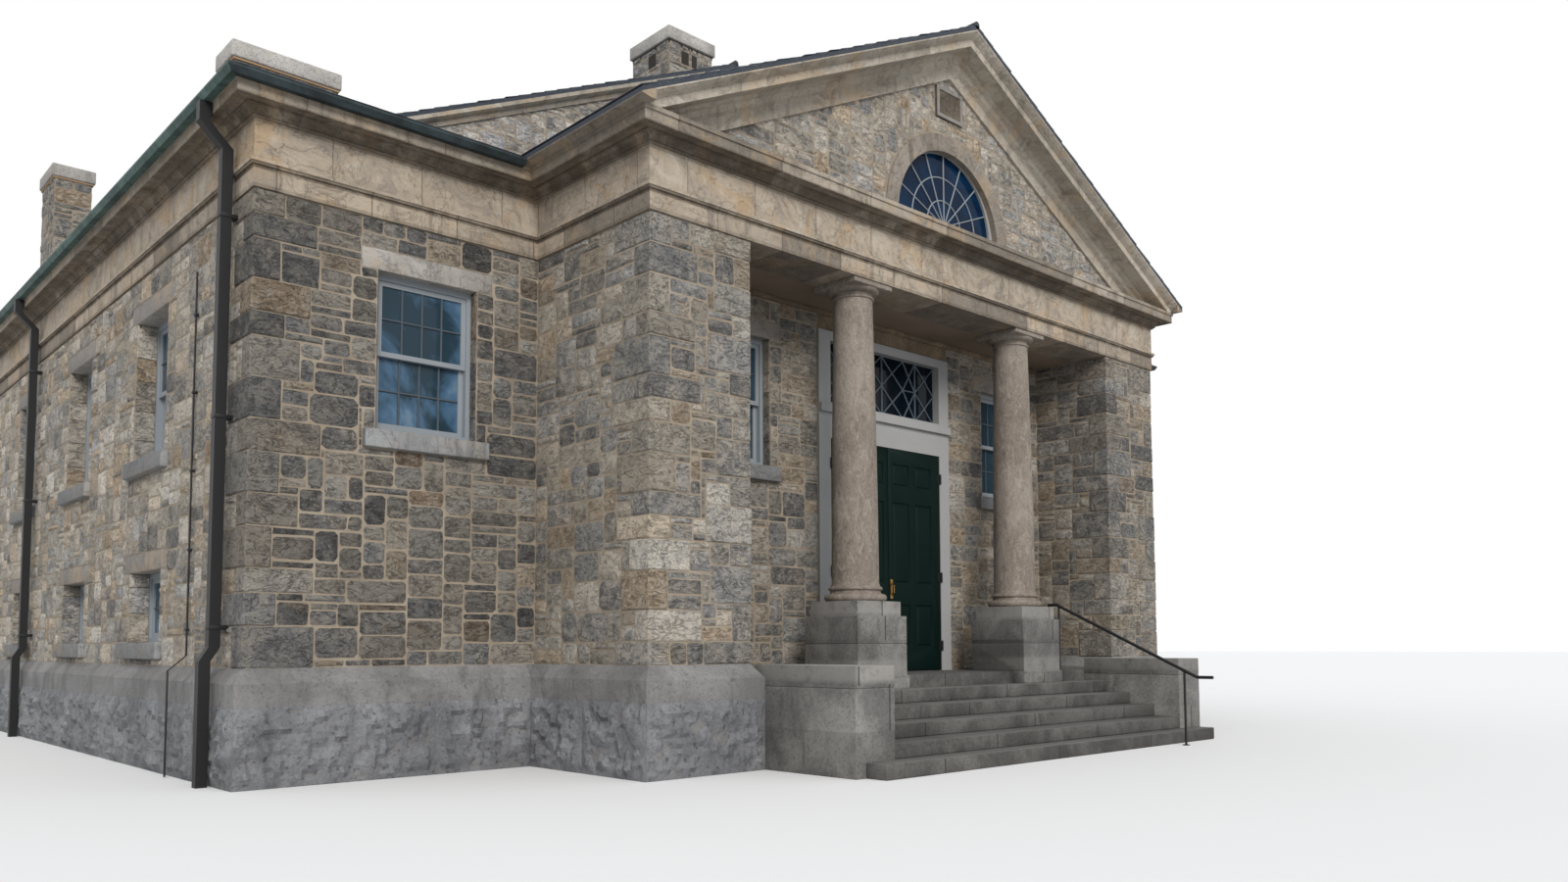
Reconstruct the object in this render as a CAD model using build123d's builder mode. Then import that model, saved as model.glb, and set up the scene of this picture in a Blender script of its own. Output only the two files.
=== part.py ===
import math
import os

from build123d import *

os.makedirs("parts", exist_ok=True)

# Frame: X runs along the front, Y runs back into the building, Z is up.
# The origin is on the ground, in the middle of the portico's front face. Millimetres.

# Plan of the main block and the portico
body_half = 7370
body_front = 1920
body_depth = 15250
wall_thick = 560
portico_half = 4550
pier_width = 1220
entrance_face = 1145
beam_thick = 560

# Levels above the ground
floor_level = 860
floor_thick = 200
plinth_shoulder = 885
plinth_top = 1015
architrave_bottom = 5190
taenia_bottom = 5385
taenia_top = 5437
frieze_top = 5800
corona_bottom = 5898
corona_fillet = 5993
corona_top = 6035
eave_bearing = 6055
attic_thick = 220

# Mouldings
plinth_out = 100
course_out = 25
taenia_step = 45
taenia_out = 60
taenia_fillet = 22
bed_out = 50
bed_fillet = 20
corona_drip = 8
corona_set = 15
corona_out = 260
cyma_out = 357
eave_course_in = 200
tympanum_back = 100
rake_depth = 450
gable_rake_out = 120
gable_rake_depth = 150

# Roofs
slab_rise = 45
main_slope = 0.4737
portico_slope = 0.4923
gable_face = 4100
gable_thick = 500
main_drip = 30
plate_clear = 50

# Steps and cheek walls
riser_count = 6
landing_nosing = 50
going = 335
lowest_going = 250
flight_half = 2700
lowest_half = 3100
tread_joint = 3
cheek_width = 530
cheek_top = 1005
cheek_cap = 200
cheek_joint = 8

# Columns and pedestals
column_x = 1500
column_y = 300
round_sides = 28
pedestal_width = 790
pedestal_foot_out = 20
pedestal_groove = 8
pedestal_course = 1200
pedestal_joint = 1505
pedestal_block = 700
pedestal_top = 1665
base_top = 1830
shaft_top = 5020
shaft_foot_radius = 261
shaft_head_radius = 216
shaft_flare = 14
shaft_flare_height = 45
entasis_power = 1.6
base_radius = 345
lower_torus = 84
upper_torus = 46
base_fillet = 12
scotia_in = 18
astragal_height = 28
astragal_out = 18
neck_height = 66
neck_fillet = 14
echinus_out = 66
abacus_width = 620
abacus_height = 55

# Doorway
door_half = 1026
casing_half = 1224
casing_face = 1115
casing_depth = 210
door_head = 3660
transom_sill = 4090
transom_head = 4840
casing_top = 4950
shelf_out = 45
shelf_height = 95
shelf_drop = 35
door_stop = 30
stop_gap = 5
leaf_thick = 60
leaf_setback = 5
leaf_gap = 6
leaf_edge_gap = 6
leaf_foot_gap = 8
hinge_x = 1030
hinge_radius = 11
hinge_height = 130
hinge_levels = (1180, 2065, 3355)
hinge_shoulder = 5
hinge_web = 6
strap_inset = 10
strap_length = 55
strap_thick = 3
meeting_stile = 82
middle_stile = 126
panel_width = 315
panel_rows = ((1162, 1693), (1955, 2976), (3182, 3465))
panel_recess = 14
field_margin = 25
field_drop = 2
handle_x = 48
handle_level = 1885
handle_height = 240
handle_reach = 45
handle_plate = 44
handle_plate_thick = 4
grip_width = 16
grip_thick = 18
grip_bend = 30

# Windows
pane_thick = 6
frame_width = 55
frame_depth = 120
sash_stile = 48
sash_thick = 40
sash_step = 4
sash_setback = 20
upper_width = 1140
upper_sill = 3180
upper_head = 4720
wing_width = 1020
wing_sill = 3200
wing_head = 4710
wing_centre = 5750
porch_width = 900
porch_sill = 3210
porch_head = 4680
porch_centre = 2440
basement_width = 1140
basement_sill = 1250
basement_head = 1990
front_recess = 110
side_recess = 200
bay_spacing = 3075
bay_count = 4
lintel_height = 200
lintel_bearing = 160
lintel_depth = 250
sill_height = 170
sill_bearing = 120
sill_out = 70
sill_depth = 220

# Lunette and date stone
lunette_level = 6160
lunette_radius = 950
arch_radius = 1155
arch_proud = 15
lunette_frame = 70
lunette_recess = 60
lunette_frame_depth = 60
stone_gap = 0.3
date_width = 490
date_height = 380
date_level = 7700
date_proud = 25
date_depth = 100

# Chimneys, gutters, downpipes and handrail
ridge_chimney_half = 420
ridge_chimney_setback = 940
ridge_chimney_depth = 920
ridge_chimney_rise = 655
ridge_cap_height = 200
stub_edge = 460
stub_width = 1070
stub_proud = 80
stub_depth = 460
stub_rise = 385
stub_cap_height = 180
side_chimney_place = 8280
side_chimney_length = 750
side_chimney_inset = 50
side_chimney_rise = 1375
cap_overhang = 40
gutter_bottom = 5993
gutter_top = 6062
gutter_gauge = 6
gutter_lap = 10
gutter_bow = 30
gutter_bow_height = 50
pipe_size = 95
pipe_gap = 40
pipe_clear = 5
pipe_places = (425, 8330)
pipe_neck = 175
pipe_swan = 200
pipe_shoe_rise = 60
pipe_shoe = 125
rail_x = 2000
rail_radius = 19
post_radius = 14
rail_height = 960
rail_low_level = 875
rail_curl = 160
rail_curl_rise = 20
rail_bend_start = 30
rail_bend = 60
top_post_y = -30
low_post_y = -1725
rail_fall_run = 160
rail_level_run = 190
post_flange_radius = 38
post_flange_height = 12

# Derived lines
body_back = body_front + body_depth
inner_half = body_half - wall_thick
inner_front = body_front + wall_thick
inner_back = body_back - wall_thick
pier_inner = portico_half - pier_width
entrance_back = entrance_face + wall_thick
attic_top = architrave_bottom + attic_thick
riser = floor_level / riser_count
main_eave = body_half + corona_out + main_drip
main_under_ridge = eave_bearing + main_slope * (body_half + corona_out)
main_ridge = main_under_ridge + slab_rise
side_chimney_front = body_front + side_chimney_place
stub_outer = body_half - stub_edge
stub_inner = stub_outer - stub_width
stub_front = gable_face - stub_proud
ridge_chimney_front = gable_face + ridge_chimney_setback
portico_eave = portico_half + cyma_out
portico_ridge = 8526
portico_under_ridge = portico_ridge - slab_rise
pent_edge = body_front - corona_out
strip_inner = portico_half + eave_course_in
cheek_outer = flight_half + cheek_width
cheek_front = landing_nosing - going * (riser_count - 2)
mitre_reach = 500
everything = 40000


def save(piece, name):
    piece.part.label = name
    export_step(piece.part, f"parts/{name}.step")


def add_block(x0, x1, y0, y1, z0, z1, mode=Mode.ADD):
    """A box between two corners, for use inside a part."""
    with Locations(((x0 + x1) / 2, (y0 + y1) / 2, (z0 + z1) / 2)):
        Box(x1 - x0, y1 - y0, z1 - z0, mode=mode)


def add_pair(x0, x1, y0, y1, z0, z1, mode=Mode.ADD):
    """A box on the right side and its mirror image on the left."""
    for side in (-1, 1):
        add_block(*sorted((side * x0, side * x1)), y0, y1, z0, z1, mode)


def mirrored_pair(right_part):
    with BuildPart() as pair:
        add(right_part)
        mirror(about=Plane.YZ)
    return pair


# Corners of the outline on the right side: x, y and the outward diagonal there
portico_front_corner = (portico_half, 0, 1, -1)
portico_back_corner = (portico_half, body_front, 1, -1)
body_front_corner = (body_half, body_front, 1, -1)
body_back_corner = (body_half, body_back, 1, 1)


def on_diagonal(corner, out):
    x, y, dx, dy = corner
    return (x + dx * out, y + dy * out)


def footprint(first, last, reach, depth):
    """Plan of a course between two mitred corners."""
    return [
        on_diagonal(first, -depth),
        on_diagonal(first, reach),
        on_diagonal(last, reach),
        on_diagonal(last, -depth),
    ]


def side_course(section, face, first, last):
    """A course whose section lies across X, mitred at both corners."""
    with BuildPart() as course:
        with BuildSketch(Plane.XZ.offset(-everything / 2)):
            Polygon(*[(face + out, z) for out, z in section], align=None)
        extrude(amount=everything)
        with BuildSketch(Plane.XY):
            Polygon(*footprint(first, last, mitre_reach, wall_thick), align=None)
        extrude(amount=everything, mode=Mode.INTERSECT)
    return course


def front_course(section, face, facing, plan):
    """A course whose section lies across Y, cut to a plan."""
    with BuildPart() as course:
        with BuildSketch(Plane.YZ.offset(-everything / 2)):
            Polygon(*[(face + facing * out, z) for out, z in section], align=None)
        extrude(amount=everything)
        with BuildSketch(Plane.XY):
            Polygon(*plan, align=None)
        extrude(amount=everything, mode=Mode.INTERSECT)
    return course


def arc_points(centre, radius, start, end, count):
    """Points on a circular arc, the ends included."""
    steps = [start + (end - start) * i / count for i in range(count + 1)]
    return [
        (centre[0] + radius * math.cos(math.radians(a)), centre[1] + radius * math.sin(math.radians(a)))
        for a in steps
    ]


# Sections, as distance out from the wall face and level
plinth_section = [
    (-wall_thick, 0),
    (plinth_out, 0),
    (plinth_out, plinth_shoulder),
    (0, plinth_top),
    (-wall_thick, plinth_top),
]

entablature_section = [
    (-wall_thick, architrave_bottom),
    (course_out, architrave_bottom),
    (course_out, taenia_bottom),
    (taenia_step, taenia_bottom),
    (taenia_step, taenia_bottom + taenia_fillet),
    (taenia_out, taenia_bottom + taenia_fillet),
    (taenia_out, taenia_top),
    (course_out, taenia_top),
    (course_out, frieze_top),
    (-wall_thick, frieze_top),
]

# Raking mouldings, as distance in front of the wall face and drop below the roof slab
pediment_section = [
    (cyma_out, 0),
    (cyma_out, 15),
    (corona_out + 60, 45),
    (corona_out + 5, 75),
    (corona_out, 75),
    (corona_out, 165),
    (60, 165),
    (50, 195),
    (10, 215),
    (-10, 265),
    (-40, 285),
    (-tympanum_back + 40, 300),
    (-tympanum_back + 40, rake_depth),
    (-tympanum_back, rake_depth),
    (-tympanum_back, 0),
]
gable_section = [
    (0, 0),
    (gable_rake_out, 0),
    (gable_rake_out, 50),
    (gable_rake_out - 30, 75),
    (50, 95),
    (30, gable_rake_depth),
    (0, gable_rake_depth),
]


def cornice_section(top):
    """Bed mould and corona, as distance out from the wall face and level."""
    hollow = corona_bottom - frieze_top - 2 * bed_fillet
    start = bed_out + bed_fillet
    face = corona_out - corona_set
    lip = face - bed_out
    return [
        (-wall_thick, frieze_top),
        (bed_out, frieze_top),
        (bed_out, frieze_top + bed_fillet),
        *arc_points((start + hollow, frieze_top + bed_fillet), hollow, 180, 90, 4),
        (start + hollow, corona_bottom),
        (lip, corona_bottom),
        (lip, corona_bottom - corona_drip),
        (face, corona_bottom - corona_drip),
        (face, corona_fillet),
        (corona_out, corona_fillet),
        (corona_out, top),
        (-wall_thick, top),
    ]


def make_plinths():
    side = side_course(plinth_section, body_half, body_front_corner, body_back_corner)
    save(mirrored_pair(side.part), "plinth_sides")
    with BuildPart() as wing:
        plan = [
            (pier_inner, inner_front),
            (pier_inner, body_front - plinth_out),
            on_diagonal(body_front_corner, plinth_out),
            on_diagonal(body_front_corner, -wall_thick),
        ]
        add(front_course(plinth_section, body_front, -1, plan).part)
        add_block(pier_inner, portico_half + plinth_out, 0, body_front, 0, plinth_top, Mode.SUBTRACT)
    back_plan = footprint(
        body_back_corner, (-body_half, body_back, -1, 1), plinth_out, wall_thick
    )
    with BuildPart() as cross:
        add(wing.part)
        mirror(about=Plane.YZ)
        add(front_course(plinth_section, body_back, 1, back_plan).part)
    save(cross, "plinth_front_and_back")
    with BuildPart() as pier:
        with BuildSketch(Plane.XY):
            with Locations((portico_half - pier_width / 2, (body_front - plinth_out) / 2)):
                Rectangle(pier_width + 2 * plinth_out, body_front + plinth_out)
        extrude(amount=plinth_shoulder)
        with BuildSketch(Plane.XY.offset(plinth_shoulder)) as lower:
            with Locations((portico_half - pier_width / 2, (body_front - plinth_out) / 2)):
                Rectangle(pier_width + 2 * plinth_out, body_front + plinth_out)
        with BuildSketch(Plane.XY.offset(plinth_top)) as upper:
            with Locations((portico_half - pier_width / 2, body_front / 2)):
                Rectangle(pier_width, body_front)
        loft([lower.sketch, upper.sketch])
        add_block(0, pier_inner, entrance_face, body_front, 0, plinth_top, Mode.SUBTRACT)
    save(mirrored_pair(pier.part), "plinth_piers")


def make_floors():
    with BuildPart() as hall:
        add_block(-inner_half, inner_half, inner_front, inner_back, floor_level - floor_thick, floor_level)
    save(hall, "hall_floor")
    with BuildPart() as porch:
        half = pier_inner - plinth_out
        add_block(-half, half, landing_nosing, entrance_face, 0, floor_level)
        add_block(-pier_inner, pier_inner, entrance_face, inner_front, 0, floor_level)
    save(porch, "porch_floor")
    with BuildPart() as ceiling:
        half = portico_half - wall_thick
        add_block(-half, half, beam_thick, inner_front, architrave_bottom, attic_top)
    save(ceiling, "porch_ceiling")
    with BuildPart() as attic:
        add_block(-inner_half, inner_half, inner_front, inner_back, architrave_bottom, attic_top)
    save(attic, "attic_floor")


def nosing(step):
    """Y of the nosing of a tread, the lowest tread being step 1."""
    if step == 1:
        return nosing(2) - lowest_going
    return landing_nosing - going * (riser_count - step)


def make_steps():
    with BuildPart() as treads:
        for step in range(1, riser_count):
            half = lowest_half if step == 1 else flight_half
            joint = stone_gap if step == 1 else tread_joint
            back = nosing(step + 1) - joint
            add_block(-half, half, nosing(step), back, riser * (step - 1), riser * step)
    save(treads, "step_treads")
    with BuildPart() as core:
        with BuildSketch(Plane.YZ.offset(-flight_half)):
            outline = [(landing_nosing, riser * (riser_count - 2)), (landing_nosing, 0)]
            for step in range(2, riser_count):
                outline.append((nosing(step), riser * (step - 2)))
                outline.append((nosing(step), riser * (step - 1)))
            Polygon(*outline, align=None)
        extrude(amount=2 * flight_half)
    save(core, "step_foundation")


def make_cheeks():
    with BuildPart() as cheek:
        joint_top = cheek_top - cheek_cap
        joint_low = joint_top - cheek_joint
        add_block(flight_half, cheek_outer, cheek_front, landing_nosing, 0, joint_low)
        add_block(flight_half, cheek_outer, cheek_front, landing_nosing, joint_top, cheek_top)
        add_block(
            flight_half + cheek_joint,
            cheek_outer - cheek_joint,
            cheek_front + cheek_joint,
            landing_nosing,
            joint_low,
            joint_top,
        )
    save(mirrored_pair(cheek.part), "cheek_walls")


def column_block(width, low, high):
    """A square block on the right column's axis."""
    half = width / 2
    add_block(column_x - half, column_x + half, column_y - half, column_y + half, low, high)


def make_pedestals():
    with BuildPart() as pedestal:
        groove_top = pedestal_course + pedestal_groove
        foot_half = pedestal_width / 2 + pedestal_foot_out
        add_block(
            column_x - foot_half,
            column_x + foot_half,
            column_y - foot_half,
            landing_nosing,
            riser * (riser_count - 1),
            floor_level,
        )
        column_block(pedestal_width, floor_level, pedestal_course)
        column_block(pedestal_width - 2 * pedestal_groove, pedestal_course, groove_top)
        column_block(pedestal_width, groove_top, pedestal_joint)
        column_block(pedestal_block, pedestal_joint, pedestal_top)
    save(mirrored_pair(pedestal.part), "pedestals")


def turned(outline):
    """A round solid on the right column's axis, lofted band by band from pairs of radius and level."""
    axis = Plane((column_x, column_y, 0))
    with BuildPart() as solid:
        for (low_radius, low), (high_radius, high) in zip(outline, outline[1:]):
            if high == low:
                continue
            with BuildSketch(axis.offset(low)) as foot:
                RegularPolygon(low_radius, round_sides)
            with BuildSketch(axis.offset(high)) as head:
                RegularPolygon(high_radius, round_sides)
            loft([foot.sketch, head.sketch], ruled=True)
    return solid


def torus(radius, low, height):
    """A half-round moulding whose fullest radius is given."""
    half = height / 2
    return arc_points((radius - half, low + half), half, -90, 90, 3)


def shaft_radius(share):
    """Radius of the shaft at a share of its height, with its entasis."""
    return shaft_foot_radius - (shaft_foot_radius - shaft_head_radius) * share**entasis_power


def make_columns():
    scotia = base_radius - lower_torus / 2 - scotia_in
    neck = shaft_foot_radius + shaft_flare
    upper_low = base_top - upper_torus
    foot = turned(
        [
            *torus(base_radius, pedestal_top, lower_torus),
            (scotia, pedestal_top + lower_torus),
            (scotia, upper_low - base_fillet),
            (neck, upper_low - base_fillet),
            *torus(neck + upper_torus / 2, upper_low, upper_torus),
        ]
    )
    save(mirrored_pair(foot.part), "column_bases")
    flare_top = base_top + shaft_flare_height
    shares = (0, 1 / 3, 2 / 3, 1)
    shaft = turned(
        [
            (neck, base_top),
            *[(shaft_radius(share), flare_top + (shaft_top - flare_top) * share) for share in shares],
        ]
    )
    save(mirrored_pair(shaft.part), "column_shafts")
    abacus_bottom = architrave_bottom - abacus_height
    neck_top = shaft_top + neck_height
    astragal = shaft_head_radius + astragal_out
    echinus_foot = shaft_head_radius + neck_fillet
    echinus_rise = abacus_bottom - neck_top
    echinus = [
        (
            echinus_foot + echinus_out * math.sin(math.radians(turn)),
            neck_top + echinus_rise * (1 - math.cos(math.radians(turn))),
        )
        for turn in (0, 45, 90)
    ]
    head = turned(
        [
            (shaft_head_radius, shaft_top),
            (astragal, shaft_top + astragal_height / 3),
            (astragal, shaft_top + astragal_height * 2 / 3),
            (shaft_head_radius, shaft_top + astragal_height),
            (shaft_head_radius, neck_top),
            *echinus,
        ]
    )
    with BuildPart() as capital:
        add(head.part)
        column_block(abacus_width, abacus_bottom, architrave_bottom)
    save(mirrored_pair(capital.part), "column_capitals")


def outward_plane(x, y, normal):
    """A plane on a wall face with its X along the wall and its Y up."""
    along = (-normal[1], normal[0], 0)
    return Plane((x, y, 0), x_dir=along, z_dir=(normal[0], normal[1], 0))


class Window:
    """One window: where it stands on a wall face and how large it is."""

    def __init__(self, plane, width, sill, head, recess, sashes):
        self.plane = plane
        self.width = width
        self.sill = sill
        self.head = head
        self.recess = recess
        self.sashes = sashes

    @property
    def centre(self):
        return (0, (self.sill + self.head) / 2)

    @property
    def height(self):
        return self.head - self.sill


bay_lines = [
    (body_front + body_back) / 2 + bay_spacing * (i - (bay_count - 1) / 2) for i in range(bay_count)
]
back_lines = [bay_spacing * (i - (bay_count - 1) / 2) for i in range(bay_count)]


def wall_windows(planes, storeys):
    return [
        Window(plane, width, sill, head, side_recess, sashes)
        for plane in planes
        for width, sill, head, sashes in storeys
    ]


two_storeys = (
    (upper_width, upper_sill, upper_head, True),
    (basement_width, basement_sill, basement_head, False),
)
right_windows = wall_windows([outward_plane(body_half, y, (1, 0)) for y in bay_lines], two_storeys)
left_windows = wall_windows([outward_plane(-body_half, y, (-1, 0)) for y in bay_lines], two_storeys)
back_windows = wall_windows([outward_plane(x, body_back, (0, 1)) for x in back_lines], two_storeys)
wing_windows = [
    Window(outward_plane(x, body_front, (0, -1)), wing_width, wing_sill, wing_head, front_recess, True)
    for x in (-wing_centre, wing_centre)
]
porch_windows = [
    Window(outward_plane(x, entrance_face, (0, -1)), porch_width, porch_sill, porch_head, front_recess, True)
    for x in (-porch_centre, porch_centre)
]
all_windows = right_windows + left_windows + back_windows + wing_windows + porch_windows


def cut_panel(window, width, height, level, depth):
    """Cuts a rectangle, seen on the wall face, into the wall being built."""
    with BuildSketch(window.plane) as panel:
        with Locations((0, level)):
            Rectangle(width, height)
    extrude(panel.sketch, amount=-depth, mode=Mode.SUBTRACT)


def cut_windows(windows):
    """Cuts openings, lintel beds and sill beds into the wall being built."""
    for window in windows:
        lintel_level = window.head + lintel_height / 2
        sill_level = window.sill - sill_height / 2
        cut_panel(window, window.width, window.height, window.centre[1], wall_thick)
        cut_panel(window, window.width + 2 * lintel_bearing, lintel_height, lintel_level, lintel_depth)
        cut_panel(window, window.width + 2 * sill_bearing, sill_height, sill_level, sill_depth)


def make_walls():
    with BuildPart() as fronts:
        add_pair(pier_inner, body_half, body_front, inner_front, plinth_top, architrave_bottom)
        cut_windows(wing_windows)
    save(fronts, "front_walls")
    with BuildPart() as sides:
        add_pair(inner_half, body_half, inner_front, inner_back, plinth_top, architrave_bottom)
        cut_windows(left_windows + right_windows)
    save(sides, "side_walls")
    with BuildPart() as back:
        add_block(-body_half, body_half, inner_back, body_back, plinth_top, architrave_bottom)
        cut_windows(back_windows)
    save(back, "back_wall")
    with BuildPart() as piers:
        add_pair(pier_inner, portico_half, 0, body_front, plinth_top, architrave_bottom)
    save(piers, "piers")
    with BuildPart() as entrance:
        add_pair(casing_half, pier_inner, entrance_face, entrance_back, floor_level, architrave_bottom)
        cut_windows(porch_windows)
    save(entrance, "entrance_walls")
    with BuildPart() as over:
        add_block(-casing_half, casing_half, entrance_face, entrance_back, casing_top, architrave_bottom)
    save(over, "entrance_lintel")


def make_lintels_and_sills():
    with BuildPart() as lintels:
        for window in all_windows:
            with BuildSketch(window.plane):
                with Locations((0, window.head + lintel_height / 2)):
                    Rectangle(window.width + 2 * lintel_bearing, lintel_height)
            extrude(amount=-lintel_depth)
    save(lintels, "window_lintels")
    with BuildPart() as sills:
        for window in all_windows:
            with BuildSketch(window.plane.offset(sill_out)):
                with Locations((0, window.sill - sill_height / 2)):
                    Rectangle(window.width + 2 * sill_bearing, sill_height)
            extrude(amount=-(sill_depth + sill_out))
    save(sills, "window_sills")


def ring(width, height, edge):
    Rectangle(width, height)
    Rectangle(width - 2 * edge, height - 2 * edge, mode=Mode.SUBTRACT)


def sash_places(window):
    """Centre height, size and setback of the sashes of one window."""
    inner_width = window.width - 2 * frame_width
    inner_height = window.height - 2 * frame_width
    if not window.sashes:
        return [(window.centre[1], inner_width, inner_height, window.recess + sash_setback)]
    half = inner_height / 2
    overlap = sash_stile / 2
    middle = window.centre[1]
    upper_setback = window.recess + sash_setback
    upper = (middle + half / 2 - overlap / 2, inner_width, half + overlap, upper_setback)
    lower_setback = upper_setback + sash_thick + sash_step
    lower = (middle - half / 2 + overlap / 2, inner_width, half + overlap, lower_setback)
    return [upper, lower]


def make_windows():
    with BuildPart() as frames:
        for window in all_windows:
            with BuildSketch(window.plane.offset(-window.recess)):
                with Locations(window.centre):
                    ring(window.width, window.height, frame_width)
            extrude(amount=-frame_depth)
    save(frames, "window_frames")
    with BuildPart() as sashes:
        for window in all_windows:
            for level, width, height, setback in sash_places(window):
                with BuildSketch(window.plane.offset(-setback)):
                    with Locations((0, level)):
                        ring(width, height, sash_stile)
                extrude(amount=-sash_thick)
    save(sashes, "window_sashes")
    with BuildPart() as panes:
        for window in all_windows:
            for level, width, height, setback in sash_places(window):
                pane_setback = setback + (sash_thick - pane_thick) / 2
                with BuildSketch(window.plane.offset(-pane_setback)):
                    with Locations((0, level)):
                        Rectangle(width - 2 * sash_stile, height - 2 * sash_stile)
                extrude(amount=-pane_thick)
    save(panes, "window_glass")


def make_entablature():
    left_front = (-portico_half, 0, -1, -1)
    left_back = (-body_half, body_back, -1, 1)
    front_plan = footprint(portico_front_corner, left_front, mitre_reach, wall_thick)
    wing_plan = footprint(portico_back_corner, body_front_corner, mitre_reach, wall_thick)
    back_plan = footprint(body_back_corner, left_back, mitre_reach, wall_thick)
    for name, low, high in (
        ("entablature", entablature_section, entablature_section),
        ("cornice", cornice_section(corona_top), cornice_section(eave_bearing)),
    ):
        with BuildPart() as fronts:
            add(front_course(high, body_front, -1, wing_plan).part)
            mirror(about=Plane.YZ)
            add(front_course(low, 0, -1, front_plan).part)
            add(front_course(high, body_back, 1, back_plan).part)
        save(fronts, f"{name}_fronts")
        with BuildPart() as sides:
            add(side_course(high, body_half, body_front_corner, body_back_corner).part)
            add(side_course(low, portico_half, portico_front_corner, portico_back_corner).part)
            mirror(about=Plane.YZ)
        save(sides, f"{name}_sides")


def portico_under(x):
    return portico_under_ridge - portico_slope * abs(x)


def main_under(x):
    return main_under_ridge - main_slope * abs(x)


def eave_section():
    """Moulded course under the eave of the portico's sides."""
    tip = portico_under(portico_eave)
    rise = tip - corona_top
    return [
        (eave_course_in, corona_top),
        (corona_out, corona_top),
        ((corona_out + cyma_out) / 2, corona_top + rise / 3),
        (cyma_out, tip - rise / 3),
        (cyma_out, tip),
        (eave_course_in, portico_under(strip_inner)),
    ]


def make_eave_courses():
    with BuildPart() as course:
        with BuildSketch(Plane.XZ.offset(-pent_edge)):
            Polygon(*[(portico_half + out, z) for out, z in eave_section()], align=None)
        extrude(amount=pent_edge + cyma_out)
    save(mirrored_pair(course.part), "portico_eave_courses")


def slope_extrude(section, face, facing, run, slope, level):
    """Carries a raking moulding from the ridge line down a slope to X = run."""
    with BuildSketch(Plane.YZ) as outline:
        Polygon(*[(face + facing * out, level - drop) for out, drop in section], align=None)
    extrude(outline.sketch, amount=run * math.hypot(1, slope), dir=(1, 0, -slope))


def make_rakes():
    front_run = body_half + corona_out - (gable_face - pent_edge)
    with BuildPart() as right:
        slope_extrude(pediment_section, 0, -1, strip_inner, portico_slope, portico_under_ridge)
        add_block(0, everything, -everything, everything, 0, corona_top, Mode.SUBTRACT)
        slope_extrude(gable_section, gable_face, -1, front_run, main_slope, main_under_ridge)
        slope_extrude(gable_section, body_back, 1, body_half + corona_out, main_slope, main_under_ridge)
        add_block(0, everything, body_back, everything, 0, eave_bearing, Mode.SUBTRACT)
    save(right, "rakes_right")
    with BuildPart() as left:
        add(right.part)
        mirror(about=Plane.YZ, mode=Mode.REPLACE)
    save(left, "rakes_left")
    return right


def chimney_boxes(grow):
    """Boxes of the ridge chimney and of the two shafts on the right side."""
    side_chimney_inner = inner_half + side_chimney_inset
    side_chimney_outer = body_half - side_chimney_inset
    return [
        (
            -ridge_chimney_half - grow,
            ridge_chimney_half + grow,
            ridge_chimney_front - grow,
            ridge_chimney_front + ridge_chimney_depth + grow,
            attic_top,
            main_ridge + ridge_chimney_rise,
        ),
        (
            stub_inner - grow,
            stub_outer + grow,
            stub_front - grow,
            stub_front + stub_depth + grow,
            eave_bearing,
            main_under(stub_inner) + slab_rise + stub_rise,
        ),
        (
            side_chimney_inner - grow,
            side_chimney_outer + grow,
            side_chimney_front - grow,
            side_chimney_front + side_chimney_length + grow,
            eave_bearing,
            main_under(side_chimney_inner) + slab_rise + side_chimney_rise,
        ),
    ]


def cut_chimneys():
    for box in chimney_boxes(0):
        add_block(*box, mode=Mode.SUBTRACT)


def make_chimneys():
    with BuildPart() as shafts:
        for box in chimney_boxes(0)[1:]:
            add_block(*box)
        mirror(about=Plane.YZ)
        add_block(*chimney_boxes(0)[0])
    save(shafts, "chimneys")
    heights = (ridge_cap_height, stub_cap_height, stub_cap_height)
    with BuildPart() as caps:
        boxes = chimney_boxes(cap_overhang)
        for box, height in list(zip(boxes, heights))[1:]:
            add_block(*box[:4], box[5], box[5] + height)
        mirror(about=Plane.YZ)
        add_block(*boxes[0][:4], boxes[0][5], boxes[0][5] + heights[0])
    save(caps, "chimney_caps")


def slab(plane, under, tip, plan):
    """A roof slab of even vertical thickness, cut to its plan."""
    with BuildPart() as piece:
        with BuildSketch(plane):
            Polygon(
                (0, under(0)),
                (tip, under(tip)),
                (tip, under(tip) + slab_rise),
                (0, under(0) + slab_rise),
                align=None,
            )
        extrude(amount=everything)
        with BuildSketch(Plane.XY):
            Polygon(*plan, align=None)
        extrude(amount=everything, mode=Mode.INTERSECT)
    return piece


def pent_under(y):
    return eave_bearing + main_slope * (y - pent_edge)


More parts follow.
